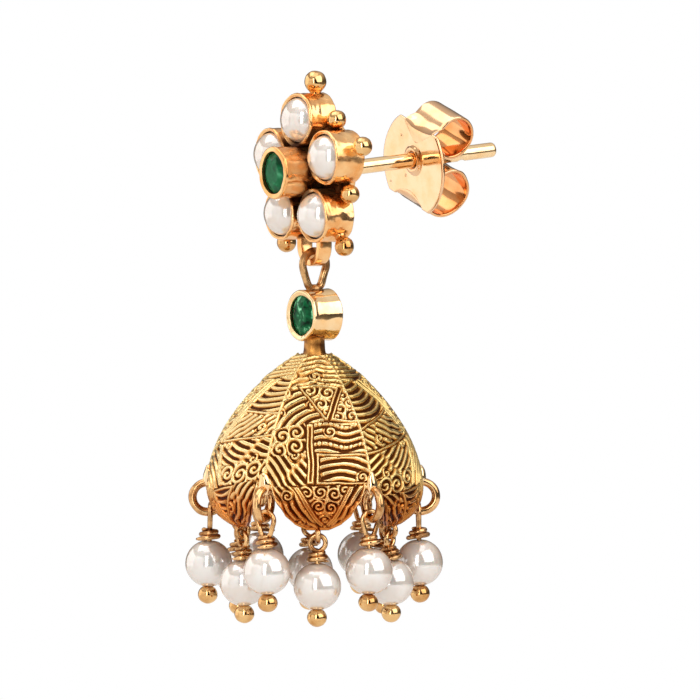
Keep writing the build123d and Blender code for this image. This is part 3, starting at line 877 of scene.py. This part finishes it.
lobeAngles = -90 + bell["turn"] + 2 * halfLobe * np.arange(bell["lobes"])
notchAngles = lobeAngles + halfLobe

# the foot of a lobe: sideways distance from the notch's middle to the depth of the metal's edge there
rimSide = [0.0, 0.28, 0.45, 0.55, 0.70, 0.95, 1.2, 1.7, 2.4, 3.2]
rimDepth = [7.2, 7.27, 7.45, 7.75, 8.1, 8.42, 8.9, 9.36, 9.68, 9.68]


def splineThrough(xs, ys, x):
    # natural cubic spline: the second derivatives solve the usual three-term equations
    xs, ys = np.array(xs, float), np.array(ys, float)
    h, slope, n = np.diff(xs), np.diff(ys) / np.diff(xs), len(xs)
    system, right = np.eye(n), np.zeros(n)
    i = np.arange(1, n - 1)
    system[i, i - 1], system[i, i], system[i, i + 1] = h[:-1], 2 * (h[:-1] + h[1:]), h[1:]
    right[1:-1] = 6 * np.diff(slope)
    m = np.linalg.solve(system, right)
    k = np.clip(np.searchsorted(xs, x) - 1, 0, n - 2)
    a, b = (xs[k + 1] - x) / h[k], (x - xs[k]) / h[k]
    return a * ys[k] + b * ys[k + 1] + ((a ** 3 - a) * m[k] + (b ** 3 - b) * m[k + 1]) * h[k] ** 2 / 6


def outerRadius(depth):
    # radius along the middle of a lobe, by a cubic spline through the bell's own points
    return splineThrough(bell["depth"], bell["outer"], depth)


def lobeRadius(angle, depth):
    # a section is six arcs from crease to crease: r = q cos a + sqrt(p^2 - q^2 sin^2 a), with q the arc's
    # centre on the lobe's middle line and p its radius
    outerR = outerRadius(depth)
    share = np.interp(depth, bell["depth"], bell["crease"])
    a = np.radians(angle)
    q = outerR * (1 - share ** 2) / (2 * (1 - share * np.cos(np.pi / bell["lobes"])))
    return q * np.cos(a) + np.sqrt((outerR - q) ** 2 - (q * np.sin(a)) ** 2)


def meridian(depth):
    # length along the middle of a lobe from the apex down to a depth
    fine = np.linspace(0, bell["depth"][-1], 400)
    length = np.concatenate([[0], np.cumsum(np.hypot(np.diff(fine), np.diff(outerRadius(fine))))])
    return np.interp(depth, fine, length)


def ridges(phase):
    # one rounded ridge to each whole turn of the phase, with a groove between
    return smoothStep(-0.65, 0.85, np.cos(2 * np.pi * phase))


# Chased ornament of a lobe. Each cell is a straight-sided field with corners (across, down) in mm from the
# apex, across counted from the lobe's middle, and a height, 0 to 1, as a function of the place. A cell with
# edges has a raised line inside its sides, and one with curls has small spirals strewn over it.


def strokes(corners, angle, spread, pitch, seed, edges=False):
    # wandering strokes that fork and end: the sum of seven straight waves whose directions spread about the
    # angle, cut at a level
    def height(x, y):
        rng = np.random.default_rng(seed)
        ways = np.radians(angle + rng.normal(0, 0.5 * spread, 7))
        phases, lengths = rng.uniform(0, 1, 7), pitch * (1 + rng.normal(0, 0.05, 7))
        waves = sum(np.cos(2 * np.pi * ((x * np.cos(a) + y * np.sin(a)) / length + phase))
                    for a, length, phase in zip(ways, lengths, phases))
        return smoothStep(-0.8, 0.8, waves / np.sqrt(3.5))

    return {"corners": corners, "height": height, "edges": edges, "curls": True}


def arcs(corners, centre, pitch, edges=False):
    # circles round the centre
    def height(x, y):
        return ridges(np.hypot(x - centre[0], y - centre[1]) / pitch)

    return {"corners": corners, "height": height, "edges": edges, "curls": True}


def scrolls(corners, centres, pitch, edges=False):
    # spirals round the nearest centre, turning right and left by turns: the phase grows with the radius and
    # with the angle
    def height(x, y):
        places = np.array(centres, float)
        away = np.stack([np.hypot(x - place[0], y - place[1]) for place in places])
        nearest = away.argmin(0)
        r, second = np.sort(away, axis=0)[:2]
        turn = np.arctan2(y - places[nearest, 1], x - places[nearest, 0]) / (2 * np.pi)
        hand = np.where(nearest % 2 == 0, 1.0, -1.0)
        seam = smoothStep(0.02, 0.10, second - r)
        return ridges(r / pitch + hand * turn) * seam + (1 - seam) * 0.9

    return {"corners": corners, "height": height, "edges": edges, "curls": False}


def beads(corners, angle, pitch, edges=False):
    # rows that swell and pinch, with beads in every third row
    def height(x, y):
        a = np.radians(angle)
        down, across = x * np.cos(a) + y * np.sin(a), x * np.sin(a) - y * np.cos(a)
        row = down / pitch + 0.28 * np.sin(across * 2.6)
        beadGap = 0.62
        toBead = np.hypot(((across / beadGap) % 1 - 0.5) * beadGap, ((row / 3 + 1 / 6) % 1 - 0.5) * 3 * pitch)
        return np.maximum(ridges(row) * smoothStep(0.13, 0.2, toBead), smoothStep(0.16, 0.09, toBead))

    return {"corners": corners, "height": height, "edges": edges, "curls": True}


chartOne = [
    strokes([(-1.5, -0.2), (0.0, -0.2), (0.0, 2.55), (-1.9, 2.85)], 66, 14, 0.38, 1),
    strokes([(0.0, -0.2), (1.5, -0.2), (1.9, 2.85), (0.0, 2.55)], 104, 14, 0.38, 2),
    scrolls([(-1.2, 2.7), (0.0, 2.55), (1.4, 2.8), (0.62, 5.2), (0.34, 5.2)],
            [(-0.42, 3.1), (0.62, 3.25), (0.22, 4.05), (0.52, 4.6)], 0.30, edges=True),
    arcs([(-1.9, 2.85), (-1.2, 2.7), (0.34, 5.2), (-2.6, 5.7), (-2.7, 3.2)], (0.7, 7.3), 0.44),
    scrolls([(1.4, 2.8), (2.4, 2.9), (3.0, 5.5), (0.62, 5.2)],
            [(1.55, 3.5), (1.35, 4.35), (1.15, 4.95), (2.05, 4.9), (1.9, 4.0)], 0.32, edges=True),
    strokes([(-0.72, 5.38), (-0.2, 5.3), (-0.2, 9.05), (-0.72, 9.05)], 0, 6, 0.30, 3, edges=True),
    scrolls([(-3.2, 5.8), (-0.72, 5.38), (-0.72, 7.2), (-3.4, 7.5)],
            [(-1.25, 5.95), (-2.1, 6.2), (-1.3, 6.8), (-2.3, 7.0), (-2.9, 6.5)], 0.36),
    strokes([(-3.5, 7.5), (-0.72, 7.2), (-0.72, 9.05), (-3.6, 9.25)], -38, 12, 0.42, 4),
    beads([(-0.2, 5.3), (3.1, 5.55), (3.4, 7.25), (-0.2, 7.15)], 92, 0.42),
    arcs([(-0.2, 7.15), (3.4, 7.25), (3.5, 9.2), (-0.2, 9.05)], (1.3, 11.2), 0.42, edges=True),
    scrolls([(-1.5, 9.1), (2.1, 9.1), (0.4, 12.1)],
            [(-0.7, 9.5), (0.1, 9.45), (0.9, 9.6), (1.5, 9.4), (0.0, 10.3), (0.7, 10.4), (0.4, 11.2)], 0.26),
    strokes([(-1.6, 9.1), (-1.1, 9.1), (0.45, 11.7), (0.2, 12.1)], -30, 4, 0.3, 15, edges=True),
    strokes([(1.75, 9.1), (2.25, 9.1), (0.6, 12.1), (0.35, 11.7)], 27, 4, 0.3, 16, edges=True),
    strokes([(-3.8, 9.3), (-1.6, 9.1), (0.3, 12.2), (0.2, 14.0), (-3.8, 14.0)], -34, 12, 0.40, 5),
    strokes([(2.25, 9.1), (3.8, 9.2), (3.8, 14.0), (0.2, 14.0), (0.45, 12.2)], 30, 14, 0.38, 6),
]
chartTwo = [
    strokes([(-1.5, -0.2), (1.5, -0.2), (1.7, 2.4), (-1.7, 2.1)], 80, 14, 0.38, 7),
    scrolls([(-1.7, 2.1), (0.35, 2.25), (-0.95, 5.0), (-2.7, 4.6)],
            [(-0.9, 2.7), (-0.2, 2.8), (-1.5, 3.5), (-0.75, 3.65), (-1.3, 4.4), (-2.1, 4.2)], 0.34,
            edges=True),
    strokes([(0.35, 2.25), (0.8, 2.28), (-1.3, 6.7), (-1.75, 6.6)], 25, 6, 0.3, 8, edges=True),
    arcs([(0.8, 2.28), (1.8, 2.4), (2.9, 5.2), (-0.3, 4.5)], (1.5, 0.7), 0.42),
    strokes([(-0.3, 4.5), (2.9, 5.2), (3.2, 6.9), (-1.3, 6.7)], 60, 24, 0.40, 17, edges=True),
    strokes([(-2.7, 4.6), (-0.95, 5.0), (-1.75, 6.6), (-3.3, 6.9)], 80, 14, 0.40, 9),
    arcs([(-3.5, 6.9), (-1.3, 6.7), (-0.2, 9.4), (-3.6, 9.5)], (-3.2, 10.6), 0.42),
    strokes([(-1.3, 6.7), (-0.85, 6.72), (0.3, 9.4), (-0.2, 9.4)], -25, 6, 0.3, 10, edges=True),
    strokes([(-0.85, 6.72), (3.4, 6.9), (3.5, 8.3), (-0.2, 8.2)], 112, 18, 0.38, 11),
    scrolls([(-0.2, 8.2), (3.5, 8.3), (3.6, 9.5), (0.3, 9.4)],
            [(0.5, 8.75), (1.5, 8.9), (2.4, 8.75), (3.2, 9.0)], 0.34),
    strokes([(-3.8, 9.5), (-0.9, 9.4), (-1.6, 14.0), (-3.8, 14.0)], 24, 20, 0.40, 12),
    arcs([(-0.9, 9.4), (1.3, 9.4), (0.0, 11.9)], (0.2, 8.4), 0.38, edges=True),
    strokes([(-0.9, 9.4), (0.0, 11.9), (0.0, 14.0), (-1.6, 14.0)], -22, 14, 0.38, 13),
    strokes([(1.3, 9.4), (3.8, 9.5), (3.8, 14.0), (0.0, 14.0), (0.0, 11.9)], 40, 20, 0.40, 14),
]


def insideBy(x, y, corners):
    # distance from each point to the nearest side of a convex field, negative outside
    corners = np.array(corners, float)
    after = np.roll(corners, -1, 0)
    area = np.sum(corners[:, 0] * after[:, 1] - after[:, 0] * corners[:, 1])
    along = unit(after - corners) * np.sign(area)
    return np.min([a[0] * (y - c[1]) - a[1] * (x - c[0]) for a, c in zip(along, corners)], axis=0)


def curlPlaces(seed):
    # small spirals strewn over a lobe: seeded places, each kept clear of the ones before it
    rng = np.random.default_rng(seed)
    least, most = (-2.9, 1.2, 0.28, -1), (2.9, 11.6, 0.42, 1)     # across, down, size, hand
    places = []
    for x, y, size, hand in rng.uniform(least, most, (300, 4)):
        isClear = all(np.hypot(x - p[0], y - p[1]) > bell["curlGap"] for p in places)
        if isClear and len(places) < bell["curls"]:
            places.append((x, y, size, np.sign(hand)))
    return places


def curled(relief, x, y, places):
    # inside each place the lines wind up to a spiral, phase r / pitch + turn, with a groove round it
    for atX, atY, size, hand in places:
        r = np.hypot(x - atX, y - atY)
        turn = np.arctan2(y - atY, x - atX) / (2 * np.pi)
        share = smoothStep(size, size - 0.06, r)
        relief = relief * (1 - share) + ridges(r / bell["curlPitch"] + hand * turn) * share
        relief = relief * (1 - 0.7 * np.exp(-((r - size - 0.03) / 0.045) ** 2))
    return relief


chasing = {
    "groundPitch": 0.34, "edgeAt": 0.14, "edgeWidth": 0.065, "edgeField": 0.27,
    "borderAt": 0.15, "borderWidth": 0.075, "borderField": 0.28, "creaseWidth": 0.08, "creaseHeight": 0.85}


def raisedLine(distance, width):
    # height of a line by the distance from its middle, a bell curve: e to the power -(d / w)^2
    return np.exp(-(distance / width) ** 2)


def chasedRelief(x, y, toRim, toCrease, chart, seed):
    # height 0 to 1: each cell's own with curls, a raised line inside its sides, a border along the lobe's
    # foot and a thin line in the crease
    relief = ridges(y / chasing["groundPitch"])
    places = curlPlaces(seed)
    for cell in chart:
        inside = insideBy(x, y, cell["corners"])
        height = cell["height"](x, y)
        if cell["curls"]:
            height = curled(height, x, y, places)
        edge = raisedLine(inside - chasing["edgeAt"], chasing["edgeWidth"])
        height = np.where((inside < chasing["edgeField"]) & cell["edges"], edge, height)
        relief = np.where(inside > 0, height, relief)
    border = raisedLine(toRim - chasing["borderAt"], chasing["borderWidth"])
    relief = np.where(toRim < chasing["borderField"], border, relief)
    return np.maximum(relief, chasing["creaseHeight"] * raisedLine(toCrease, chasing["creaseWidth"]))


def rimAt(angle):
    # depth of the metal's edge on each column, read from the foot chart at the distance from the nearer notch
    side = np.radians(halfLobe - np.abs(angle)) * bell["footR"]
    return np.interp(side, rimSide, rimDepth)


def lobeSide(count, column, way):
    # closes a lobe along one crease: each outer point is joined to its mate among the fewer inner ones
    rows = bell["rows"]
    ring = np.arange(count) * bell["columns"] + column
    inner = ring[rows + 1:][::-1]
    mates = np.interp(np.arange(rows), [0, rows - 1], [0, len(inner) - 1]).round().astype(int)
    outer, inner = ring[:rows], inner[mates]
    a = np.stack([outer[:-1], outer[1:], inner[1:]], -1)
    b = np.stack([outer[:-1], inner[1:], inner[:-1]], -1)
    b = b[b[:, 1] != b[:, 2]]
    tip = np.array([[ring[rows - 1], ring[rows], inner[-1]]])
    return np.concatenate([a, b, tip])[:, ::way]


def bellLobe(number):
    # rows run from the apex to the scalloped edge and columns from crease to crease; the outside is pushed in
    # by the relief, then the shell turns round the edge and climbs back up the inside
    columns, rows = bell["columns"], bell["rows"]
    angle = np.linspace(-halfLobe, halfLobe, columns)
    rim = rimAt(angle)
    even = np.linspace(0, 1, rows)[:, None] * bell["footDepth"]
    bend, foot = bell["bendDepth"], bell["footDepth"]
    depth = np.where(even < bend, even, bend + (even - bend) * ((rim - bend) / (foot - bend))[None])
    length = meridian(depth)
    angles = np.repeat(angle[None], rows, 0)
    radius = lobeRadius(angles, depth)
    turn = np.radians(angles)
    base = np.stack([radius * np.cos(turn), radius * np.sin(turn), bell["apexZ"] - depth], -1)
    down, across = np.gradient(base, axis=0), np.gradient(base, axis=1)
    normal = unit(np.cross(across, down))
    normal *= np.sign(normal[rows // 2, columns // 2, 0])
    # the ornament's own place: mirrored on some lobes, slanted, and wandering a little both ways
    x, y = turn * outerRadius(depth), length
    spot, seed = np.stack([x, y, np.full(x.shape, number * 9.0)], -1), bell["seed"]
    flip = -1 if number in bell["mirrored"] else 1
    x = x * flip + sum(far * unevenness(spot, size, seed) for far, size in bell["wander"])
    y = y + bell["slant"][number] * x * smoothStep(*bell["slantFrom"], y) * smoothStep(*bell["slantTo"], y)
    y = y + sum(far * unevenness(spot, size, seed + 1) for far, size in bell["wander"])
    slope = np.gradient(meridian(rim), np.radians(angle) * bell["footR"])
    toRim = (meridian(rim)[None] - length) / np.hypot(1, slope)[None]
    toCrease = np.radians(halfLobe - np.abs(angles)) * radius
    chart = chartOne if number % 2 else chartTwo
    relief = chasedRelief(x, y, toRim, toCrease, chart, seed + number % 2)
    outside = base + normal * (bell["proud"] - bell["relief"] * (1 - relief))[..., None]
    wallRows = np.linspace(rows - 1, bell["innerTop"], bell["innerRows"]).astype(int)
    inside = base[wallRows] - normal[wallRows] * bell["wall"]
    edge = base[-1] - normal[-1] * bell["wall"] / 2 + unit(down[-1]) * bell["lip"]
    points = np.concatenate([outside, edge[None], inside])
    shades = np.concatenate([
        relief, np.full((1, columns), bell["edgeRelief"]),
        np.full((len(wallRows), columns), bell["insideRelief"])])
    depths = np.concatenate([depth, depth[-1:], depth[wallRows]])
    # painted shade: redder towards the foot, where the lobe turns down; dulled by each lobe's own amount,
    # heaviest on the right-hand lobe as painted shade, elsewhere a dull film of age, and more near the apex
    red = smoothStep(*bell["paintedShadeFoot"], depths)
    dull = np.clip(bell["patinaAndShade"][number] + 0.5 * smoothStep(*bell["dullTop"], depths), 0, 1)
    quads = gridQuads(len(points), columns, True, False)
    sides = np.concatenate([lobeSide(len(points), 0, -1), lobeSide(len(points), columns - 1, 1)])
    values = {"relief": shades.ravel(), "foot": red.ravel(), "patinaAndShade": dull.ravel()}
    return outward((points.reshape(-1, 3), quads, sides)), values


def makeBell():
    for number, angle in enumerate(lobeAngles):
        shell, values = bellLobe(number)
        shell = moved(shell, dropAt, [((0, 0, 1), angle)])
        dropPiece(f"bell_lobe_{number + 1}", shell, antiqueGold, values)
    print("bell lobes made")


drop = {
    "colletZ": -8.1, "colletR": 1.47, "colletDepth": 1.95, "seat": 0.8, "stoneR": 1.17,
    "loopWire": 0.22, "loopTopR": 0.78, "loopLowR": 0.5, "loopLowZ": -6.12,
    "solderR": 0.34, "solderShape": (1.1, 1.5, 0.75),
    # the neck flares into the bell: heights from the collet's foot, and sizes as shares of its radius
    "neckR": 0.62, "neckZ": [0.37, 0.12, -0.18, -0.48, -0.73, -0.93, -1.08],
    "neckSize": [0.92, 0.93, 0.95, 0.98, 1.05, 1.18, 1.22],
    "ringR": 0.84, "ringWire": 0.235, "ringAt": 6.05, "ringZ": -18.4, "ringPinAt": 5.88, "ringPinRise": 0.04,
    "blobR": 0.4, "blobShape": (0.75, 0.9, 1.7),
    "eyeR": 0.37, "eyeWire": 0.15, "eyeAt": 4.78, "eyeZ": -20.11}


def aroundDrop(shell, angle, radius, z):
    # a shell whose local X points outwards, put round the drop's line
    return moved(moved(shell, (radius, 0, z)), dropAt, [((0, 0, 1), angle)])


def makeDropCollet():
    stoneR, depth = drop["stoneR"], drop["colletDepth"]
    middle = np.array([0, dropAt[1] + depth / 2, drop["colletZ"]])
    cup = collet(drop["colletR"] + 0.03, depth, stoneR - 0.02, drop["seat"], 23, rim=0.14, dent=0.006,
                 base=0.0)
    cup = facing(cup, middle)
    verts = cup[0] - middle
    # painted shade: dark down in the cup, under the stone
    grimeAndShade = insideCup(verts, np.hypot(verts[:, 0], verts[:, 2]) < stoneR + 0.02, depth)
    dropPiece("drop_collet", cup, burnishedGold, {"grimeAndShade": grimeAndShade})


def makeLoop():
    # the belt line of wire, its bend up to the drop's highest point, in a blob of solder on the collet
    wire, topR = drop["loopWire"], drop["loopTopR"]
    line = beltPath(dropTop - wire - topR, topR, drop["loopLowZ"], drop["loopLowR"])
    loop = sweep(line + (0, dropAt[1], 0), roundSection(wire, 18), (1, 0, 0), closed=True)
    solder = scaled(ball(drop["solderR"], 24), drop["solderShape"])
    solder = moved(solder, (0, dropAt[1], drop["colletZ"] + drop["colletR"] + 0.02))
    loop = handMade(joined([loop, solder]), 0.02, 0.9, 3)
    dropPiece("hanging_loop", loop, wireGold, {"grimeAndShade": 0.42 + 0.3 * unevenness(loop[0], 0.8, 15)})


def makeNeck():
    # a hexagonal prism with blunt corners, (R cos t, R sin t, h), flaring into the bell's top
    t = np.repeat(np.radians(notchAngles), 5) + np.tile(np.linspace(-0.10, 0.10, 5), 6)
    size = np.array(drop["neckSize"])[:, None] * drop["neckR"]
    z = np.array(drop["neckZ"])[:, None] + drop["colletZ"] - drop["colletR"] + 0 * t
    neck = moved(ringShell(np.stack([size * np.cos(t), size * np.sin(t), z], -1)), dropAt)
    # painted shade: the neck under the collet is coloured low on the chased gold's ramp, dark brown, patchily
    dropPiece("bell_neck", neck, antiqueGold, {"relief": 0.22 + 0.4 * unevenness(neck[0], 0.5, 8)})
    print("drop collet, loop and neck made")


def wireRing(radius, wire, sides):
    # a ring of wire along the circle (R cos t, 0, R sin t)
    t = np.linspace(0, 2 * np.pi, 48, endpoint=False)
    circle = radius * np.stack([np.cos(t), 0 * t, np.sin(t)], -1)
    return sweep(circle, roundSection(wire, sides), (0, 1, 0), closed=True)


def makeRings():
    # a ring in each notch with a blob of solder above it, and a small eye under each lobe
    rings, blobs, eyes = [], [], []
    for number, angle in enumerate(notchAngles):
        place = angle, drop["ringAt"], drop["ringZ"]
        ring = handMade(wireRing(drop["ringR"], drop["ringWire"], 16), 0.03, 1.2, 40 + number)
        rings.append(aroundDrop(ring, *place))
        blob = handMade(scaled(ball(drop["blobR"], 24), drop["blobShape"]), 0.05, 0.6, 80 + number)
        blobs.append(aroundDrop(moved(blob, (-0.05, 0, drop["ringR"] + 0.3)), *place))
    for number, angle in enumerate(lobeAngles):
        eye = handMade(wireRing(drop["eyeR"], drop["eyeWire"], 14), 0.015, 0.8, 60 + number)
        eyes.append(aroundDrop(eye, angle, drop["eyeAt"], drop["eyeZ"]))
    dropPiece("notch_rings", joined(rings), wireGold)
    dropPiece("ring_solder", joined(blobs), burnishedGold)
    dropPiece("lobe_eyes", joined(eyes), wireGold)
    print("rings and eyes made")


pins = {
    "pearlR": 1.33, "wire": 0.14, "ballR": 0.56, "ballDrop": 1.76, "wraps": 2.2, "wrapRise": 0.26,
    "wrapLowR": 0.57, "wrapTopR": 0.32, "wrapTail": 0.35, "sway": 2.0, "gap": 0.03,
    "dish": 0.07, "dishR": 0.22, "pearlUneven": 0.010,
    # each group's pearl height and the width and height of its loops
    "notch": {"pearlZ": -22.15, "loopWidth": 1.3, "loopHeight": 1.72},
    "lobe": {"pearlZ": -23.03, "loopWidth": 1.15, "loopHeight": 1.2}}


def roundPearl(seed):
    # a ball a little out of round, dished where the wire goes through
    verts, quads, tris = ball(pins["pearlR"], 56)
    dish = pins["dish"] * np.exp(-(np.hypot(verts[:, 0], verts[:, 1]) / pins["dishR"]) ** 2)
    verts = verts * (1 + pins["pearlUneven"] * unevenness(verts, 2.8, seed))[:, None]
    return verts * (1 - dish / pins["pearlR"])[:, None], quads, tris


def wireWraps(seed):
    # a helix (r cos a, r sin a, h) on the pearl's top, r shrinking as it climbs, with a tail standing out
    turns, wire = pins["wraps"], pins["wire"]
    s = np.linspace(0, 1, int(turns * 24))
    a = 2 * np.pi * turns * s + np.random.default_rng(seed).uniform(0, 2 * np.pi)
    r = pins["wrapLowR"] + (pins["wrapTopR"] - pins["wrapLowR"]) * s + 0.03 * np.sin(a * 0.7 + seed)
    tail = 1 + pins["wrapTail"] * smoothStep(0.14, 0.0, s)
    h = pins["pearlR"] + 0.45 * wire + pins["wrapRise"] * turns * s
    h = h + 0.03 * np.sin(a + seed) - 0.08 * (tail - 1)
    coil = np.stack([r * tail * np.cos(a), r * tail * np.sin(a), h], -1)
    return sweep(coil, roundSection(wire * 0.95, 12), (0, 0, 1), scale=roundedEnds(len(s)))


def headPin(loopTop, loopWidth, loopHeight, seed):
    # the oval loop, stem and wraps of wire, and the ball below, about a pearl at the origin
    wire, bendR = pins["wire"], loopWidth / 2 - pins["wire"]
    lowR, loopFoot = 0.6 * bendR, loopTop - loopHeight + wire
    loop = beltPath(loopTop - wire - bendR, bendR, loopFoot + lowR, lowR, 72)
    eye = sweep(loop, roundSection(wire, 12), (1, 0, 0), closed=True)
    line = np.column_stack([np.zeros((12, 2)), np.linspace(-pins["ballDrop"], loopFoot, 12)])
    stem = sweep(line, roundSection(wire, 12), (1, 0, 0))
    end = moved(scaled(ball(pins["ballR"], 32), (1, 1, 0.94)), (0, 0, -pins["ballDrop"]))
    return joined([eye, stem, wireWraps(seed)]), handMade(end, 0.012, 0.9, seed)


def makePearlDrop(group, number, angle, radius, loopZ, seed):
    # one pearl on its pin, leaning a little about the place where its loop hangs
    pearlZ = pins[group]["pearlZ"]
    loopTop = loopZ + pins["gap"] + 2 * pins["wire"] - pearlZ
    lean = np.random.default_rng(seed).uniform(-pins["sway"], pins["sway"], 2)
    turns = [((1, 0, 0), lean[0]), ((0, 1, 0), lean[1])]

    def hung(shell):
        shell = moved(moved(shell, (0, 0, -loopTop)), (0, 0, loopTop), turns)
        return aroundDrop(shell, angle, radius, pearlZ)

    wires, end = headPin(loopTop, pins[group]["loopWidth"], pins[group]["loopHeight"], seed)
    grimeAndShade = {"grimeAndShade": 0.34 + 0.3 * unevenness(wires[0], 0.7, seed)}
    pearl, pin = f"{group}_pearl_{number}", f"{group}_pin_{number}"
    makePiece(f"{group}_drop_pearl_{number}", hung(roundPearl(seed)), pearlNacre, "drop", [pearl])
    makePiece(f"{group}_drop_wire_{number}", hung(wires), wireGold, "drop", [pin], grimeAndShade)
    makePiece(f"{group}_drop_ball_{number}", hung(end), granuleGold, "drop", [pin])


def makePearlDrops():
    ringInside = drop["ringZ"] - drop["ringR"] + drop["ringWire"] + drop["ringPinRise"]
    eyeInside = drop["eyeZ"] - drop["eyeR"] + drop["eyeWire"]
    for number, angle in enumerate(notchAngles, 1):
        makePearlDrop("notch", number, angle, drop["ringPinAt"], ringInside, 100 + number)
    for number, angle in enumerate(lobeAngles, 1):
        makePearlDrop("lobe", number, angle, drop["eyeAt"], eyeInside, 200 + number)
    print("pearls and pins made")


makeFlower()
makeBackPlate()
makeGranules()
makePost()
makeBail()
stoneAt = np.array([0, flower["stoneSink"] - flower["centreDepth"], 0])
makeStone("flower_stone", "centre_stone", flowerEmerald, stoneAt, flower["stoneR"] - 0.02, "stud", 9)
makeScrollBack()
makeBell()
makeDropCollet()
makeLoop()
makeNeck()
stoneAt = np.array([0, flower["stoneSink"] + dropAt[1] - drop["colletDepth"] / 2, drop["colletZ"]])
makeStone("drop_stone_cut", "drop_stone", dropEmerald, stoneAt, drop["stoneR"] - 0.02, "drop", 4)
makeRings()
makePearlDrops()

view = {"azimuth": 56.5, "elevation": 3.6, "distance": 400.0, "aim": (0.83, 1.25, -10.1), "span": 39.6}


def towards(azimuth, elevation):
    # unit vector from the object to a place seen at that azimuth and elevation
    a, e = np.radians(azimuth), np.radians(elevation)
    return np.array([np.sin(a) * np.cos(e), -np.cos(a) * np.cos(e), np.sin(e)])


def aimed(obj, azimuth, elevation, distance):
    # put where the object shows at that azimuth and elevation, and turned to look at the view's aim
    way, aim = towards(azimuth, elevation), np.array(view["aim"])
    obj.location = Vector(((aim + way * distance) * mm).tolist())
    obj.rotation_euler = Vector((-way).tolist()).to_track_quat("-Z", "Y").to_euler()
    bpy.context.scene.collection.objects.link(obj)


def makeCamera():
    # a long lens: its length is the sensor's width times the distance over the span that it sees
    data = bpy.data.cameras.new("camera")
    data.lens = data.sensor_width * view["distance"] / view["span"]
    data.clip_start, data.clip_end = 0.01, 20
    camera = bpy.data.objects.new("camera", data)
    aimed(camera, view["azimuth"], view["elevation"], view["distance"])
    bpy.context.scene.camera = camera


# azimuth and elevation seen from the object, distance, width and height in mm, brightness, colour
softboxes = {
    "front_strip": (45, 14, 440, 100, 460, 4.6, (1, 0.98, 0.96)),
    "left_card": (-52, 4, 360, 420, 360, 1.2, (1, 0.98, 0.96)),
    "left_fill": (6, 8, 430, 400, 380, 0.9, (1, 0.98, 0.96)),
    "right": (108, 31, 430, 440, 430, 2.2, (1, 0.98, 0.96)),
    "top_left": (-62, 64, 380, 320, 190, 1.4, (1, 0.98, 0.95)),
    "top": (56, 82, 380, 300, 300, 0.8, (1, 1, 1))}


def makeLights():
    # each softbox's power is its brightness times pi times its area
    for name, (azimuth, elevation, distance, width, height, bright, colour) in softboxes.items():
        data = bpy.data.lights.new(name, "AREA")
        data.shape = "RECTANGLE"
        data.size, data.size_y = width * mm, height * mm
        data.energy, data.color = bright * np.pi * data.size * data.size_y, colour
        aimed(bpy.data.objects.new(name, data), azimuth, elevation, distance)


# the room's brightness by height, from 0 straight down to 1 straight up, and its dimming behind the camera
room = {
    "down": (0.55, 0.53, 0.5, 1), "up": (0.9, 0.9, 0.9, 1), "tint": (1, 0.92, 0.84),
    "greys": [(0.30, 0.40), (0.40, 0.22), (0.54, 0.08), (0.66, 0.25), (0.82, 0.6)],
    "dimTowards": (72, 4), "dimTo": 0.15}


def makeWorld():
    # a studio: bright overhead, dark walls near eye level, dimmest behind the camera, and white behind
    # whatever the camera sees
    world = bpy.data.worlds.new("studio")
    bpy.context.scene.world = world
    world.use_nodes = True
    tree = world.node_tree
    tree.nodes.clear()
    way = addNode(tree, "ShaderNodeTexCoord").outputs["Generated"]
    up = addNode(tree, "ShaderNodeSeparateXYZ", {0: way}).outputs["Z"]
    walls = [(height, (*(grey * part for part in room["tint"]), 1)) for height, grey in room["greys"]]
    colour = ramped(tree, maths(tree, "MULTIPLY_ADD", up, 0.5, 0.5),
                    [(0.0, room["down"]), *walls, (1.0, room["up"])])
    dimWay = towards(*room["dimTowards"]).tolist()
    behind = addNode(tree, "ShaderNodeVectorMath", {0: way, 1: dimWay}, operation="DOT_PRODUCT")
    dim = remapped(tree, behind.outputs["Value"], 0.5, 0.92, 1.0, room["dimTo"])
    studio = addNode(tree, "ShaderNodeBackground", {"Color": colour, "Strength": dim}).outputs[0]
    white = addNode(tree, "ShaderNodeBackground", {"Color": (1, 1, 1, 1), "Strength": 1.0}).outputs[0]
    seen = addNode(tree, "ShaderNodeLightPath").outputs["Is Camera Ray"]
    mix = addNode(tree, "ShaderNodeMixShader", {"Fac": seen, 1: studio, 2: white}).outputs[0]
    addNode(tree, "ShaderNodeOutputWorld", {"Surface": mix})


stage = {
    "radius": 220.0, "z": -60.0, "corners": 64,
    "look": {"Base Color": (0.74, 0.73, 0.72, 1), "Roughness": 0.9}}


def makeFloor():
    # a pale flat disc well below the hanging earring, (R cos t, R sin t, z)
    t = np.linspace(0, 2 * np.pi, stage["corners"], endpoint=False)
    ring = np.stack([stage["radius"] * np.cos(t), stage["radius"] * np.sin(t), stage["z"] + 0 * t], -1)
    mesh = bpy.data.meshes.new("floor")
    mesh.from_pydata((ring * mm).tolist(), [], [list(range(stage["corners"]))])
    mesh.materials.append(newMaterial("pale floor", stage["look"])[0])
    floor = bpy.data.objects.new("floor", mesh)
    bpy.context.scene.collection.objects.link(floor)


makeCamera()
makeLights()
makeWorld()
makeFloor()
bpy.context.scene.view_settings.view_transform = "Standard"
print("camera, lights and floor made")
